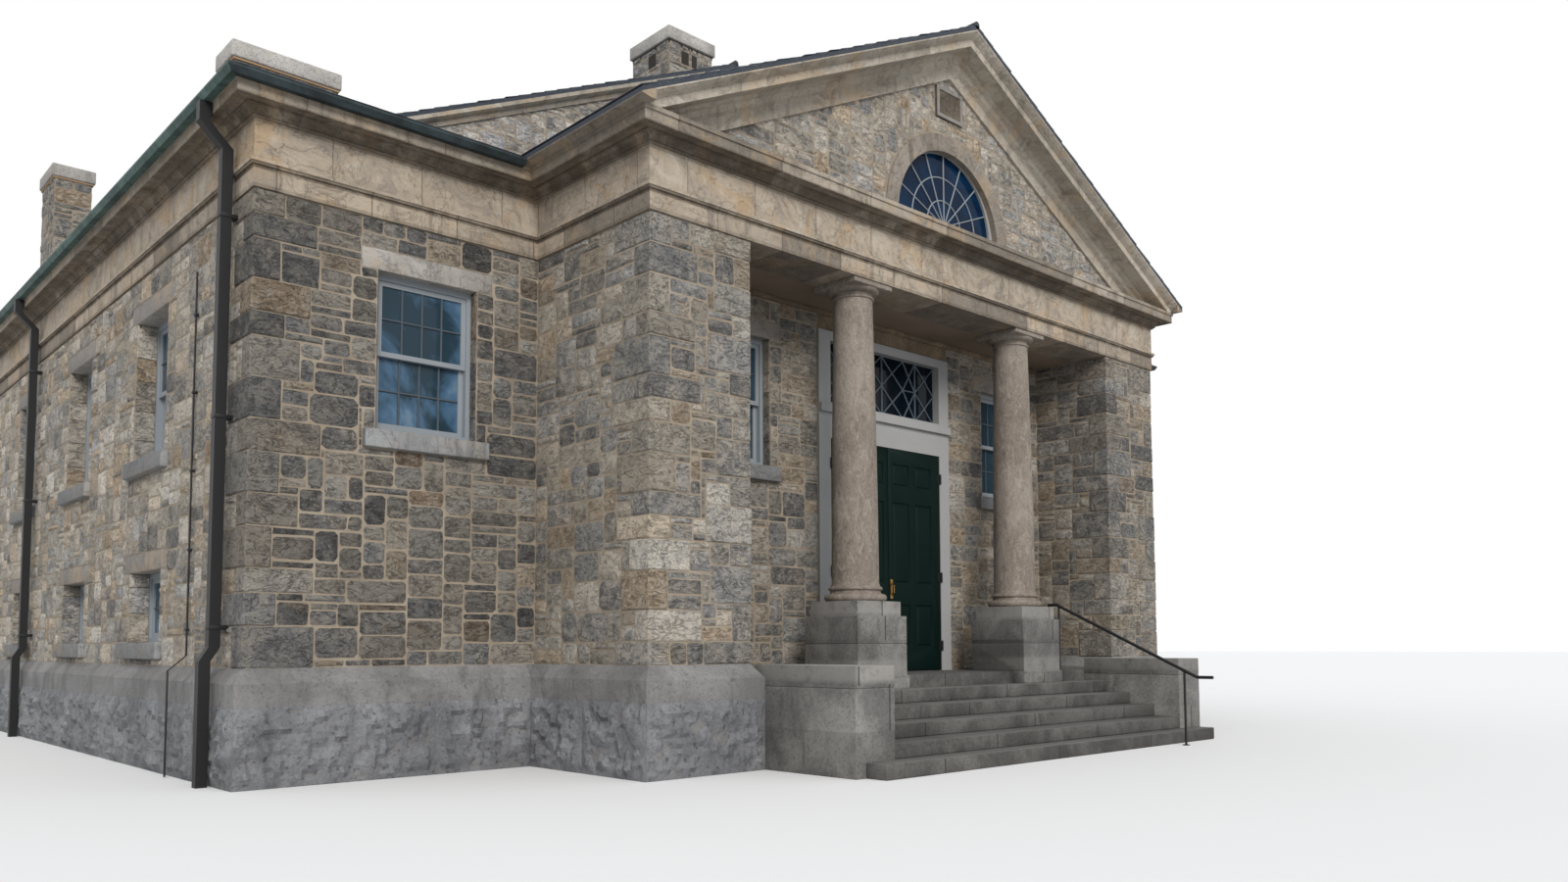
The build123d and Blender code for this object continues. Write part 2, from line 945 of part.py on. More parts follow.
def make_roofs(rakes):
    valley_top = (portico_under_ridge - pent_under(gable_face)) / portico_slope
    valley_foot_y = pent_edge + (portico_under(portico_eave) - eave_bearing) / main_slope
    hip_top = body_half + corona_out - (gable_face - pent_edge)
    drip_y = pent_edge - main_drip
    across = Plane.XZ.offset(-everything / 2)
    rake_front = gable_face - gable_rake_out
    rake_back = body_back + gable_rake_out
    with BuildPart() as right:
        main_plan = [(0, rake_front), (main_eave, rake_front), (main_eave, rake_back), (0, rake_back)]
        add(slab(across, main_under, main_eave, main_plan).part)
        portico_plan = [
            (0, -cyma_out),
            (portico_eave, -cyma_out),
            (portico_eave, valley_foot_y),
            (valley_top, gable_face),
            (0, gable_face),
        ]
        add(slab(across, portico_under, portico_eave, portico_plan).part)
        cut_chimneys()
    save(right, "roof_right")
    with BuildPart() as left:
        add(right.part)
        mirror(about=Plane.YZ, mode=Mode.REPLACE)
    save(left, "roof_left")
    with BuildPart() as front_slope:
        with BuildSketch(Plane.YZ):
            Polygon(
                (drip_y, pent_under(drip_y)),
                (gable_face, pent_under(gable_face)),
                (gable_face, pent_under(gable_face) + slab_rise),
                (drip_y, pent_under(drip_y) + slab_rise),
                align=None,
            )
        extrude(amount=everything)
        with BuildSketch(Plane.XY):
            Polygon(
                (portico_eave, drip_y),
                (main_eave, drip_y),
                (hip_top, gable_face),
                (valley_top, gable_face),
                (portico_eave, valley_foot_y),
                align=None,
            )
        extrude(amount=everything, mode=Mode.INTERSECT)
    hip_at_rake = body_half + corona_out - (rake_front - pent_edge)
    side_plan = [(main_eave, drip_y), (main_eave, rake_front), (hip_at_rake, rake_front)]
    with BuildPart() as pent:
        add(front_slope.part)
        add(slab(across, main_under, main_eave, side_plan).part)
        add(right.part, mode=Mode.SUBTRACT)
        add(rakes.part, mode=Mode.SUBTRACT)
        cut_chimneys()
    save(mirrored_pair(pent.part), "pent_roofs")


def make_gables():
    with BuildPart() as gables:
        with BuildSketch(Plane.XZ.offset(-gable_face)):
            Polygon(
                (-inner_half, attic_top),
                (inner_half, attic_top),
                (inner_half, main_under(inner_half)),
                (0, main_under_ridge),
                (-inner_half, main_under(inner_half)),
                align=None,
            )
        extrude(amount=-gable_thick)
        with BuildSketch(Plane.XZ.offset(-inner_back)):
            Polygon(
                (-body_half, eave_bearing),
                (body_half, eave_bearing),
                (body_half, main_under(body_half)),
                (0, main_under_ridge),
                (-body_half, main_under(body_half)),
                align=None,
            )
        extrude(amount=-wall_thick)
        for box in chimney_boxes(0)[1:]:
            add_pair(*box, mode=Mode.SUBTRACT)
    save(gables, "gable_walls")


def make_wall_plates():
    with BuildPart() as plates:
        with BuildSketch(Plane.XZ.offset(-inner_back)):
            Polygon(
                (inner_half, eave_bearing),
                (body_half, eave_bearing),
                (body_half, main_under(body_half)),
                (inner_half, main_under(inner_half)),
                align=None,
            )
        extrude(amount=inner_back - inner_front)
        with BuildSketch(Plane.YZ.offset(portico_half + plate_clear)):
            Polygon(
                (body_front, eave_bearing),
                (inner_front, eave_bearing),
                (inner_front, pent_under(inner_front)),
                (body_front, pent_under(body_front)),
                align=None,
            )
        extrude(amount=inner_half - portico_half - 2 * plate_clear)
        with BuildSketch(Plane.XZ.offset(-body_front)):
            half = portico_half - wall_thick
            Polygon(
                (half, corona_top),
                (portico_half, corona_top),
                (portico_half, portico_under(portico_half)),
                (half, portico_under(half)),
                align=None,
            )
        extrude(amount=body_front - beam_thick)
        cut_chimneys()
    save(mirrored_pair(plates.part), "wall_plates")


def make_pediment():
    back = beam_thick
    face = Plane.XZ.offset(-tympanum_back)
    with BuildPart() as wall:
        with BuildSketch(face):
            Polygon(
                (-strip_inner, corona_top),
                (strip_inner, corona_top),
                (strip_inner, portico_under(strip_inner)),
                (0, portico_under_ridge),
                (-strip_inner, portico_under(strip_inner)),
                align=None,
            )
        extrude(amount=-(back - tympanum_back))
        with BuildSketch(face):
            with Locations((0, lunette_level)):
                Circle(arch_radius + stone_gap)
                Rectangle(
                    2 * everything, everything, align=(Align.CENTER, Align.MAX), mode=Mode.SUBTRACT
                )
        extrude(amount=-(back - tympanum_back), mode=Mode.SUBTRACT)
        with BuildSketch(face):
            with Locations((0, date_level)):
                Rectangle(date_width, date_height)
        extrude(amount=-date_depth, mode=Mode.SUBTRACT)
    save(wall, "tympanum_wall")
    with BuildPart() as arch:
        with BuildSketch(face.offset(arch_proud)):
            with Locations((0, lunette_level)):
                Circle(arch_radius)
                Circle(lunette_radius, mode=Mode.SUBTRACT)
                Rectangle(
                    2 * everything, everything, align=(Align.CENTER, Align.MAX), mode=Mode.SUBTRACT
                )
        extrude(amount=-(back - tympanum_back + arch_proud))
    save(arch, "lunette_arch")
    chord = math.sqrt((lunette_radius - stone_gap) ** 2 - lunette_frame**2)
    with BuildPart() as frame:
        with BuildSketch(face.offset(-lunette_recess)):
            with Locations((0, lunette_level)):
                Circle(lunette_radius - stone_gap)
                Rectangle(
                    2 * everything, everything, align=(Align.CENTER, Align.MAX), mode=Mode.SUBTRACT
                )
            with Locations((0, lunette_level + lunette_frame)):
                Circle(lunette_radius - lunette_frame, mode=Mode.SUBTRACT)
            with Locations((0, lunette_level)):
                Rectangle(2 * chord, lunette_frame, align=(Align.CENTER, Align.MIN))
        extrude(amount=-lunette_frame_depth)
    save(frame, "lunette_frame")
    with BuildPart() as pane:
        with BuildSketch(face.offset(-lunette_recess - lunette_frame_depth / 2)):
            with Locations((0, lunette_level + lunette_frame)):
                Circle(lunette_radius - lunette_frame - stone_gap)
                Rectangle(
                    2 * everything, everything, align=(Align.CENTER, Align.MAX), mode=Mode.SUBTRACT
                )
        extrude(amount=-pane_thick)
    save(pane, "lunette_glass")
    with BuildPart() as date:
        with BuildSketch(face.offset(date_proud)):
            with Locations((0, date_level)):
                Rectangle(date_width, date_height)
        extrude(amount=-(date_depth + date_proud))
    save(date, "date_stone")


def make_door_frame():
    y0 = casing_face
    y1 = casing_face + casing_depth
    stop_y = casing_face + leaf_setback + leaf_thick + stop_gap
    shelf_top = transom_sill - shelf_drop
    with BuildPart() as frame:
        add_block(-casing_half, casing_half, y0, y1, floor_level, casing_top)
        add_block(-door_half, door_half, y0, y1, floor_level, door_head, Mode.SUBTRACT)
        add_block(-door_half, door_half, y0, y1, transom_sill, transom_head, Mode.SUBTRACT)
        add_pair(door_half - door_stop, door_half, stop_y, y1, floor_level, door_head)
        add_block(-door_half, door_half, stop_y, y1, door_head - door_stop, door_head)
        add_block(-casing_half, casing_half, y0 - shelf_out, y0, shelf_top - shelf_height, shelf_top)
    save(frame, "door_frame")
    with BuildPart() as pane:
        pane_y = casing_face + casing_depth / 2
        add_block(-door_half, door_half, pane_y, pane_y + pane_thick, transom_sill, transom_head)
    save(pane, "transom_glass")


leaf_front = casing_face + leaf_setback


def make_leaf(side, name):
    """One leaf with two columns of raised and fielded panels."""
    near = leaf_gap
    far = door_half - leaf_edge_gap
    low = floor_level + leaf_foot_gap
    high = door_head - leaf_edge_gap
    first = near + meeting_stile + panel_width / 2
    panel_lines = (first, first + middle_stile + panel_width)
    face = outward_plane(0, leaf_front, (0, -1))
    with BuildPart() as leaf:
        with BuildSketch(face):
            with Locations((side * (near + far) / 2, (low + high) / 2)):
                Rectangle(far - near, high - low)
        extrude(amount=-leaf_thick)
        for x in panel_lines:
            for bottom, top in panel_rows:
                centre = (side * x, (bottom + top) / 2)
                with BuildSketch(face):
                    with Locations(centre):
                        Rectangle(panel_width, top - bottom)
                extrude(amount=-panel_recess, mode=Mode.SUBTRACT)
                with BuildSketch(face.offset(-panel_recess)):
                    with Locations(centre):
                        Rectangle(panel_width - 2 * field_margin, top - bottom - 2 * field_margin)
                extrude(amount=panel_recess - field_drop, taper=45)
    save(leaf, f"door_leaf_{name}")


def make_hinges(side, name):
    """Three butt hinges with their barrels in front of the casing."""
    axis_y = casing_face - hinge_radius - stone_gap
    web_outer = hinge_x - strap_inset + 1
    with BuildPart() as hinges:
        for level in hinge_levels:
            with Locations((side * hinge_x, axis_y, level)):
                Cylinder(hinge_radius, hinge_height)
            low = level - hinge_height / 2 + hinge_shoulder
            high = level + hinge_height / 2 - hinge_shoulder
            strap = sorted((side * (hinge_x - strap_inset), side * (hinge_x - strap_length)))
            web = sorted((side * web_outer, side * (web_outer - hinge_web)))
            add_block(*strap, leaf_front - strap_thick, leaf_front, low, high)
            add_block(*web, axis_y, leaf_front, low, high)
    save(hinges, f"door_hinges_{name}")


def make_handle():
    plate_face = leaf_front - handle_plate_thick
    grip_face = leaf_front - handle_reach
    half = handle_height / 2
    outer = (half - grip_bend - grip_thick / 2, half - 2 * grip_bend - grip_thick / 2)
    with BuildPart() as handle:
        add_block(
            handle_x - handle_plate / 2,
            handle_x + handle_plate / 2,
            plate_face,
            leaf_front,
            handle_level - half,
            handle_level + half,
        )
        with BuildSketch(Plane.YZ.offset(handle_x - grip_width / 2)):
            Polygon(
                (plate_face, handle_level + outer[0]),
                (grip_face, handle_level + outer[1]),
                (grip_face, handle_level - outer[1]),
                (plate_face, handle_level - outer[0]),
                (plate_face, handle_level - outer[0] + grip_thick),
                (grip_face + grip_thick, handle_level - outer[1] + grip_thick / 2),
                (grip_face + grip_thick, handle_level + outer[1] - grip_thick / 2),
                (plate_face, handle_level + outer[0] - grip_thick),
                align=None,
            )
        extrude(amount=grip_width)
    save(handle, "door_handle")


# Gutter, as distance out from the wall face and level
gutter_section = [
    (corona_out, eave_bearing - gutter_lap),
    (corona_out, gutter_bottom),
    (cyma_out - gutter_bow, gutter_bottom),
    (cyma_out, gutter_bottom + gutter_bow_height),
    (cyma_out, gutter_top),
    (cyma_out - gutter_gauge, gutter_top),
    (cyma_out - gutter_gauge, gutter_bottom + gutter_bow_height + gutter_gauge / 2),
    (cyma_out - gutter_bow - gutter_gauge / 2, gutter_bottom + gutter_gauge),
    (corona_out + gutter_gauge, gutter_bottom + gutter_gauge),
    (corona_out + gutter_gauge, eave_bearing - gutter_lap),
]


def make_gutters():
    with BuildPart() as sides:
        with BuildSketch(Plane.XZ.offset(-(body_back + corona_out))):
            Polygon(*[(body_half + out, z) for out, z in gutter_section], align=None)
        extrude(amount=everything)
        with BuildSketch(Plane.XY):
            Polygon(
                on_diagonal(body_front_corner, 0),
                on_diagonal(body_front_corner, mitre_reach),
                (body_half + mitre_reach, everything),
                (body_half, everything),
                align=None,
            )
        extrude(amount=everything, mode=Mode.INTERSECT)
    save(mirrored_pair(sides.part), "side_gutters")
    plan = [
        (portico_eave, body_front),
        (portico_eave, body_front - mitre_reach),
        on_diagonal(body_front_corner, mitre_reach),
        on_diagonal(body_front_corner, 0),
    ]
    front = front_course(gutter_section, body_front, -1, plan)
    save(mirrored_pair(front.part), "front_gutters")


def make_downpipes():
    """Square pipes that swan out to the gutter at the top and round the plinth at the foot."""
    outlet = body_half + (corona_out + cyma_out) / 2
    drop = body_half + taenia_out + pipe_clear
    foot = body_half + plinth_out + pipe_gap
    shoe_low = plinth_top + pipe_shoe_rise
    shoe_high = shoe_low + pipe_shoe
    neck = gutter_bottom - pipe_neck
    bend = neck - pipe_swan
    half = pipe_size / 2
    with BuildPart() as pipes:
        for place in pipe_places:
            y = body_front + place
            with BuildSketch(Plane.XZ.offset(-(y + half))):
                Polygon(
                    (foot, 0),
                    (foot + pipe_size, 0),
                    (foot + pipe_size, shoe_low),
                    (drop + pipe_size, shoe_high),
                    (drop + pipe_size, bend),
                    (outlet + half, neck),
                    (outlet + half, gutter_bottom),
                    (outlet - half, gutter_bottom),
                    (outlet - half, neck),
                    (drop, bend),
                    (drop, shoe_high),
                    (foot, shoe_low),
                    align=None,
                )
            extrude(amount=pipe_size)
    save(mirrored_pair(pipes.part), "downpipes")


def make_handrail():
    tread_level = riser * (riser_count - 1)
    top_level = tread_level + rail_height
    start_y = top_post_y + rail_bend_start
    start_level = top_level + rail_curl_rise
    fall = (start_level - rail_low_level) / (start_y - low_post_y)
    end_y = low_post_y - rail_fall_run
    end_level = rail_low_level - fall * rail_fall_run
    with BuildPart() as rail:
        with BuildLine() as path:
            FilletPolyline(
                (rail_x, top_post_y + rail_curl, start_level),
                (rail_x, start_y, start_level),
                (rail_x, end_y, end_level),
                (rail_x, end_y - rail_level_run, end_level),
                radius=rail_bend,
            )
        with BuildSketch(Plane(origin=path.line @ 0, z_dir=path.line % 0)):
            Circle(rail_radius)
        sweep(path=path.line)
        for y, foot, head in ((top_post_y, tread_level, top_level), (low_post_y, 0, rail_low_level)):
            with Locations((rail_x, y, (foot + head) / 2)):
                Cylinder(post_radius, head - foot)
            with Locations((rail_x, y, foot + post_flange_height / 2)):
                Cylinder(post_flange_radius, post_flange_height)
    save(rail, "handrail")


make_plinths()
make_floors()
make_steps()
make_cheeks()
make_pedestals()
make_columns()
make_walls()
make_lintels_and_sills()
make_windows()
make_entablature()
make_eave_courses()
right_rakes = make_rakes()
make_chimneys()
make_roofs(right_rakes)
make_gables()
make_wall_plates()
make_pediment()
make_door_frame()
for side, name in ((-1, "left"), (1, "right")):
    make_leaf(side, name)
    make_hinges(side, name)
make_handle()
make_gutters()
make_downpipes()
make_handrail()
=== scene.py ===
import math
import random

import bmesh
import bpy
from mathutils import Euler, Matrix, Vector, noise


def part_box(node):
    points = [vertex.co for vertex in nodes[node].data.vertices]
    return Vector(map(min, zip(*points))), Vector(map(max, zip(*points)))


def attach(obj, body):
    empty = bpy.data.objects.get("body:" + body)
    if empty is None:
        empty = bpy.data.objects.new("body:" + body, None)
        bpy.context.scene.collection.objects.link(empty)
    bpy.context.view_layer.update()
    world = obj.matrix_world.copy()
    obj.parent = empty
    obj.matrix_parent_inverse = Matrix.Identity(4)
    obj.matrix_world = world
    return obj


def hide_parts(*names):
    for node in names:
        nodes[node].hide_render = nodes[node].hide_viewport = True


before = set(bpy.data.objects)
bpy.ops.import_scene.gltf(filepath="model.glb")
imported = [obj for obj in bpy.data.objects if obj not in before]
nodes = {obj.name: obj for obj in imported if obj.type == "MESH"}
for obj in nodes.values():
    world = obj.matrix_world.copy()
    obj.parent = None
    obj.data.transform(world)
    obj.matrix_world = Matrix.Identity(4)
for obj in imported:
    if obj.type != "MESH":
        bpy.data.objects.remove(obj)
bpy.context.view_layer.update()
chance = random.Random(11)
print("frame loaded:", len(nodes), "nodes")


# Places read from the frame, in metres
def lowOf(name):
    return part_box(name)[0]


def highOf(name):
    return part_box(name)[1]


wallLow = lowOf("front_walls").z
wallTop = highOf("front_walls").z
floorLevel = highOf("porch_floor").z
bodyHalf = highOf("side_walls").x
bodyFront = lowOf("front_walls").y
bodyBack = highOf("back_wall").y
porticoHalf = highOf("piers").x
pierInner = highOf("entrance_walls").x
entranceFace = lowOf("entrance_walls").y
casingHalf = highOf("door_frame").x
gableFront = lowOf("gable_walls").y
eaveLevel = highOf("cornice_sides").z
tympanumFace = lowOf("tympanum_wall").y
lunetteLevel = lowOf("lunette_arch").z


# Shader wiring: a Wire is one socket, and arithmetic on it adds Math nodes
def operator(operation):
    return lambda self, other: self.maths(operation, self, other)


class Wire:
    __add__ = __radd__ = operator("ADD")
    __sub__ = operator("SUBTRACT")
    __mul__ = __rmul__ = operator("MULTIPLY")
    __truediv__ = operator("DIVIDE")
    __lt__ = operator("LESS_THAN")
    __gt__ = operator("GREATER_THAN")
    most = operator("MAXIMUM")
    turnFrom = operator("ARCTAN2")  # the angle of a place, from its height and its distance across

    def __init__(self, paint, socket):
        self.paint = paint
        self.socket = socket

    def maths(self, operation, first, second=0.0):
        return self.paint.add("ShaderNodeMath", {"operation": operation}, {0: first, 1: second})

    def __rsub__(self, other):
        return self.maths("SUBTRACT", other, self)

    def __abs__(self):
        return self.maths("ABSOLUTE", self)

    def floor(self):
        return self.maths("FLOOR", self)

    def fromSeam(self):  # 0 on a whole number, 0.5 halfway between two
        return 0.5 - abs(self.maths("FRACT", self) - 0.5)

    def band(self, start, end):  # 0 below start, 1 above end, smooth between
        settings = {"interpolation_type": "SMOOTHSTEP", "clamp": True}
        return self.paint.add("ShaderNodeMapRange", settings, {0: self, 1: start, 2: end})


def full(colour):
    return colour if isinstance(colour, Wire) else (*colour, 1.0)


class Paint:
    def __init__(self, name, owner=None, ending="ShaderNodeOutputMaterial"):
        self.material = owner or bpy.data.materials.new(name)
        self.material.use_nodes = True
        self.tree = self.material.node_tree
        self.tree.nodes.clear()
        self.output = self.tree.nodes.new(ending)
        self.place = self.add("ShaderNodeTexCoord", {}, {}, "Object")

    def add(self, kind, settings, sockets, output=0):
        node = self.tree.nodes.new(kind)
        for key, value in settings.items():
            if key == "stops":
                self.setStops(node.color_ramp, value)
            else:
                setattr(node, key, value)
        for key, value in sockets.items():
            if isinstance(value, Wire):
                self.tree.links.new(value.socket, node.inputs[key])
            else:
                node.inputs[key].default_value = value
        return Wire(self, node.outputs[output])

    def setStops(self, ramp, stops):
        while len(ramp.elements) < len(stops):
            ramp.elements.new(0.5)
        for element, (position, colour) in zip(ramp.elements, stops):
            element.position = position
            element.color = (*colour, 1.0)

    def noise(self, scale, detail=4.0, roughness=0.55, distortion=0.0, stretch=(1.0, 1.0, 1.0)):
        place = self.add("ShaderNodeMapping", {}, {"Vector": self.place, "Scale": stretch})
        sockets = {"Vector": place, "Scale": scale, "Detail": detail}
        sockets.update({"Roughness": roughness, "Distortion": distortion})
        return self.add("ShaderNodeTexNoise", {}, sockets)

    def flecks(self, scale):  # one value for each grain
        colour = self.add("ShaderNodeTexVoronoi", {}, {"Vector": self.place, "Scale": scale}, "Color")
        return self.add("ShaderNodeSeparateColor", {}, {0: colour}, 0)

    def blockTone(self, cell, course):  # one value for each block, from its number and its course
        spot = self.add("ShaderNodeCombineXYZ", {}, {0: cell.floor(), 1: course}, 0)
        return self.add("ShaderNodeTexWhiteNoise", {"noise_dimensions": "2D"}, {"Vector": spot}, "Value")

    def attribute(self, name):
        return self.add("ShaderNodeAttribute", {"attribute_name": name}, {}, "Fac")

    def axis(self, letter):
        return self.add("ShaderNodeSeparateXYZ", {}, {0: self.place}, letter)

    def lines(self, scale, width, stretch=(1.0, 1.0, 1.0)):  # 1 on thin wandering cracks, 0 beside them
        return 1 - abs(self.noise(scale, 6.0, 0.62, 0.9, stretch) - 0.5).band(width * 0.2, width)

    def shift(self, *amounts):  # moves the pattern, so that no two stones show the same part of it
        offset = self.add("ShaderNodeCombineXYZ", {}, dict(enumerate(amounts)), 0)
        self.place = self.add("ShaderNodeVectorMath", {"operation": "ADD"}, {0: self.place, 1: offset}, 0)

    def facing(self, letter):
        normal = self.add("ShaderNodeNewGeometry", {}, {}, "Normal")
        return abs(self.add("ShaderNodeSeparateXYZ", {}, {0: normal}, letter))

    def ramp(self, factor, stops):
        return self.add("ShaderNodeValToRGB", {"stops": stops}, {0: factor}, "Color")

    def mix(self, factor, first, second, blend="MIX"):
        settings = {"data_type": "RGBA", "blend_type": blend, "clamp_factor": True}
        return self.add("ShaderNodeMix", settings, {0: factor, 6: full(first), 7: full(second)}, 2)

    def layers(self, colour, *coats):  # colours laid over one another, each by its share
        for share, coat in coats:
            colour = self.mix(share, colour, coat)
        return colour

    def bump(self, height, distance, strength=1.0):
        sockets = {"Height": height, "Distance": distance, "Strength": strength}
        return self.add("ShaderNodeBump", {}, sockets, "Normal")

    def finish(self, colour, roughness, normal=None, **constants):
        sockets = {"Base Color": full(colour), "Roughness": roughness}
        if normal is not None:
            sockets["Normal"] = normal
        sockets.update({key.replace("_", " "): value for key, value in constants.items()})
        shader = self.add("ShaderNodeBsdfPrincipled", {}, sockets)
        self.tree.links.new(shader.socket, self.output.inputs["Surface"])
        return self.material


# Finishes
def rubbleStone():
    paint = Paint("rubbleStone")
    tone = paint.attribute("tone")
    shade = paint.attribute("shade")
    paint.shift(shade * 31, tone * 47, shade * 19)
    body = paint.ramp(
        tone,
        [
            (0.0, (0.14, 0.14, 0.145)),
            (0.2, (0.215, 0.214, 0.212)),
            (0.34, (0.3, 0.305, 0.31)),
            (0.48, (0.29, 0.27, 0.235)),
            (0.65, (0.4, 0.355, 0.295)),
            (0.8, (0.49, 0.475, 0.44)),
            (0.9, (0.48, 0.39, 0.285)),
            (1.0, (0.3, 0.215, 0.14)),
        ],
    )
    cloud = paint.noise(5.5, 7.0, 0.7, 0.8)
    stain = paint.noise(2.1, 5.0, 0.65, 0.5)
    grain = paint.noise(46.0, 8.0, 0.8)
    split = paint.noise(9.0, 9.0, 0.74, 1.4, (1.0, 1.0, 2.2))
    cracks = paint.lines(6.5, 0.022, (1.0, 1.0, 2.0))
    colour = paint.layers(
        body,
        (cloud.band(0.42, 0.64) * 0.65, (0.5, 0.45, 0.38)),
        ((1 - cloud).band(0.5, 0.68) * 0.6, (0.15, 0.14, 0.125)),
        (stain.band(0.55, 0.75) * 0.5, (0.43, 0.31, 0.19)),
        (split.band(0.52, 0.7) * 0.4, (0.13, 0.122, 0.11)),
        (grain.band(0.5, 0.68) * 0.55, (0.66, 0.62, 0.55)),
        ((1 - grain).band(0.52, 0.7) * 0.6, (0.075, 0.068, 0.06)),
        (cracks * 0.5, (0.05, 0.043, 0.036)),
    )
    # The shade attribute scales each stone's lightness: partly its own tone, partly painted light and shade
    # for its part of the walls
    light = [(0.0, (0.6, 0.61, 0.625)), (0.5, (1.75, 1.73, 1.7)), (1.0, (2.9, 3.0, 3.3))]
    colour = paint.mix(1.0, colour, paint.ramp(shade * 0.5, light), "MULTIPLY")
    relief = split + grain * 0.55 + cloud * 0.7 - cracks * 0.3
    return paint.finish(colour, 0.92 - grain * 0.12, paint.bump(relief, 0.06, 1.0), Specular_IOR_Level=0.2)


def mortar():
    paint = Paint("mortar")
    sand = paint.noise(120.0, 4.0, 0.75)
    patch = paint.noise(1.9, 6.0, 0.7)
    tones = [(0.3, (0.22, 0.182, 0.14)), (0.5, (0.31, 0.26, 0.2)), (0.7, (0.43, 0.37, 0.295))]
    colour = paint.ramp(patch, tones)
    colour = paint.mix(sand.band(0.4, 0.7) * 0.35, colour, (0.27, 0.225, 0.175))
    return paint.finish(colour, 0.95, paint.bump(sand, 0.006, 0.7), Specular_IOR_Level=0.15)


def dressedStone(name, pale, mid, dark, joint, layout="straight", courseLevel=None, sootAndPaintedShade=()):
    # Smooth-faced blocks, each in its own tone, under rust, soot and painted shade.
    # The layout is how their joints run: upright, square to a raking cornice, or towards the middle of the
    # arch
    paint = Paint(name)
    height = paint.axis("Z")
    if layout == "raking":
        along = height * 0.44 - abs(paint.axis("X")) * 0.9
    elif layout == "radial":
        along = (height - lunetteLevel).turnFrom(paint.axis("X"))
    else:
        turned = paint.facing("X").band(0.55, 0.65)
        along = paint.axis("X") * (1 - turned) + paint.axis("Y") * turned + joint * 0.37
    cell = along / joint
    course = height * 0
    if courseLevel is not None:
        course = height > courseLevel
        cell = cell + course * 0.43
    seam = (cell.fromSeam() * joint).band(0.003, 0.009)
    block = paint.blockTone(cell, course)
    cloud = paint.noise(1.7, 7.0, 0.7, 0.8)
    drip = paint.noise(2.8, 7.0, 0.72, 0.5, (1.8, 1.8, 0.35))
    bed = paint.noise(5.0, 8.0, 0.72, 0.8, (1.0, 1.0, 3.2))
    grain = paint.noise(58.0, 8.0, 0.8)
    rust = paint.noise(1.3, 6.0, 0.72, 1.0)
    cracks = paint.lines(2.6, 0.012)
    blotch = paint.noise(2.3, 8.0, 0.76, 1.4)
    contrast = 0.75 if layout == "straight" else 0.3
    colour = paint.layers(
        mid,
        (cloud.band(0.38, 0.62) * (1 - course * 0.3) + course * 0.3, pale),
        (block.band(0.3, 0.95) * (1 - course * 0.85) * contrast, dark),
        (blotch.band(0.49, 0.6) * course * 0.6, (0.23, 0.205, 0.175)),
        ((1 - blotch).band(0.52, 0.64) * course * 0.5, (0.58, 0.53, 0.45)),
        (rust.band(0.5, 0.63) * (0.4 + course * 0.2), (0.48, 0.33, 0.185)),
        (drip.band(0.5, 0.68) * (0.7 - course * 0.55), dark),
        (bed.band(0.5, 0.7) * (0.4 - course * 0.15), dark),
        (grain.band(0.5, 0.72) * 0.35, (0.6, 0.55, 0.48)),
        ((1 - grain).band(0.55, 0.75) * 0.5, (0.1, 0.085, 0.07)),
    )
    # Each band is soot and painted shade: darkening just under a projecting course, where shadow falls
    for level, reach, strength in sootAndPaintedShade:
        patch = (1 - abs(height - level).band(reach * 0.5, reach)) * paint.noise(3.5, 5.0, 0.7).band(0.2, 0.6)
        colour = paint.mix(patch * strength, colour, (0.075, 0.056, 0.038))
    seamColour = (0.14, 0.12, 0.1) if layout == "straight" else (0.52, 0.46, 0.38)
    colour = paint.layers(
        colour, (cracks * 0.2, (0.12, 0.095, 0.07)), ((1 - seam) * (0.5 - course * 0.3), seamColour)
    )
    relief = grain * 0.45 + paint.noise(11.0, 6.0, 0.65) + bed * 0.6 + seam * 0.7 - cracks * 0.3
    return paint.finish(colour, 0.88, paint.bump(relief, 0.02, 0.8), Specular_IOR_Level=0.2)


def granite(name, pale, mid, dark, scale, spot=0.5, joint=0.0, rise=0.1433, wornAndLit=0.0, rough=0.008, litCrowns=()):
    # Speckled stone; with a joint length its courses are cut upright, each course set off from the last
    paint = Paint(name)
    cloud = paint.noise(1.3, 7.0, 0.68, 0.7)
    damp = paint.noise(2.4, 7.0, 0.72, 0.8, (1.3, 1.3, 0.5))
    grain = paint.noise(scale * 0.5, 7.0, 0.78)
    pits = (1 - paint.noise(scale * 0.4, 5.0, 0.7)).band(0.58, 0.72)
    colour = paint.layers(
        mid,
        (cloud.band(0.36, 0.66), pale),
        (damp.band(0.5, 0.72) * 0.65, dark),
        (paint.flecks(scale).band(0.6, 0.95) * spot, dark),
        (grain.band(0.5, 0.72) * 0.5, pale),
        (pits * 0.5, dark),
    )
    # Pale bands at the crowns: painted light on the tops of the cheeks and pedestals
    for level in litCrowns:
        patch = 1 - abs(paint.axis("Z") - level + 0.06).band(0.05, 0.12)
        colour = paint.mix(patch * paint.noise(5.0, 6.0, 0.7).band(0.3, 0.55) * 0.75, colour, pale)
    # Upward faces paler: wear and painted light on the tops
    if wornAndLit:
        colour = paint.mix(paint.facing("Z").band(0.6, 0.95) * wornAndLit, colour, pale)
    relief = grain * 0.5 + paint.noise(8.0, 7.0, 0.7) - pits * 0.4
    if joint:
        course = (paint.axis("Z") / rise + 0.02).floor()
        cell = paint.axis("X") / joint + course * 0.387 + 0.2
        seam = (cell.fromSeam() * joint).band(0.004, 0.01)
        colour = paint.layers(
            colour, (paint.blockTone(cell, course) * 0.4, dark), ((1 - seam) * 0.85, (0.03, 0.027, 0.025))
        )
        relief = relief + seam
    return paint.finish(colour, 0.82, paint.bump(relief, rough, 0.8), Specular_IOR_Level=0.3)


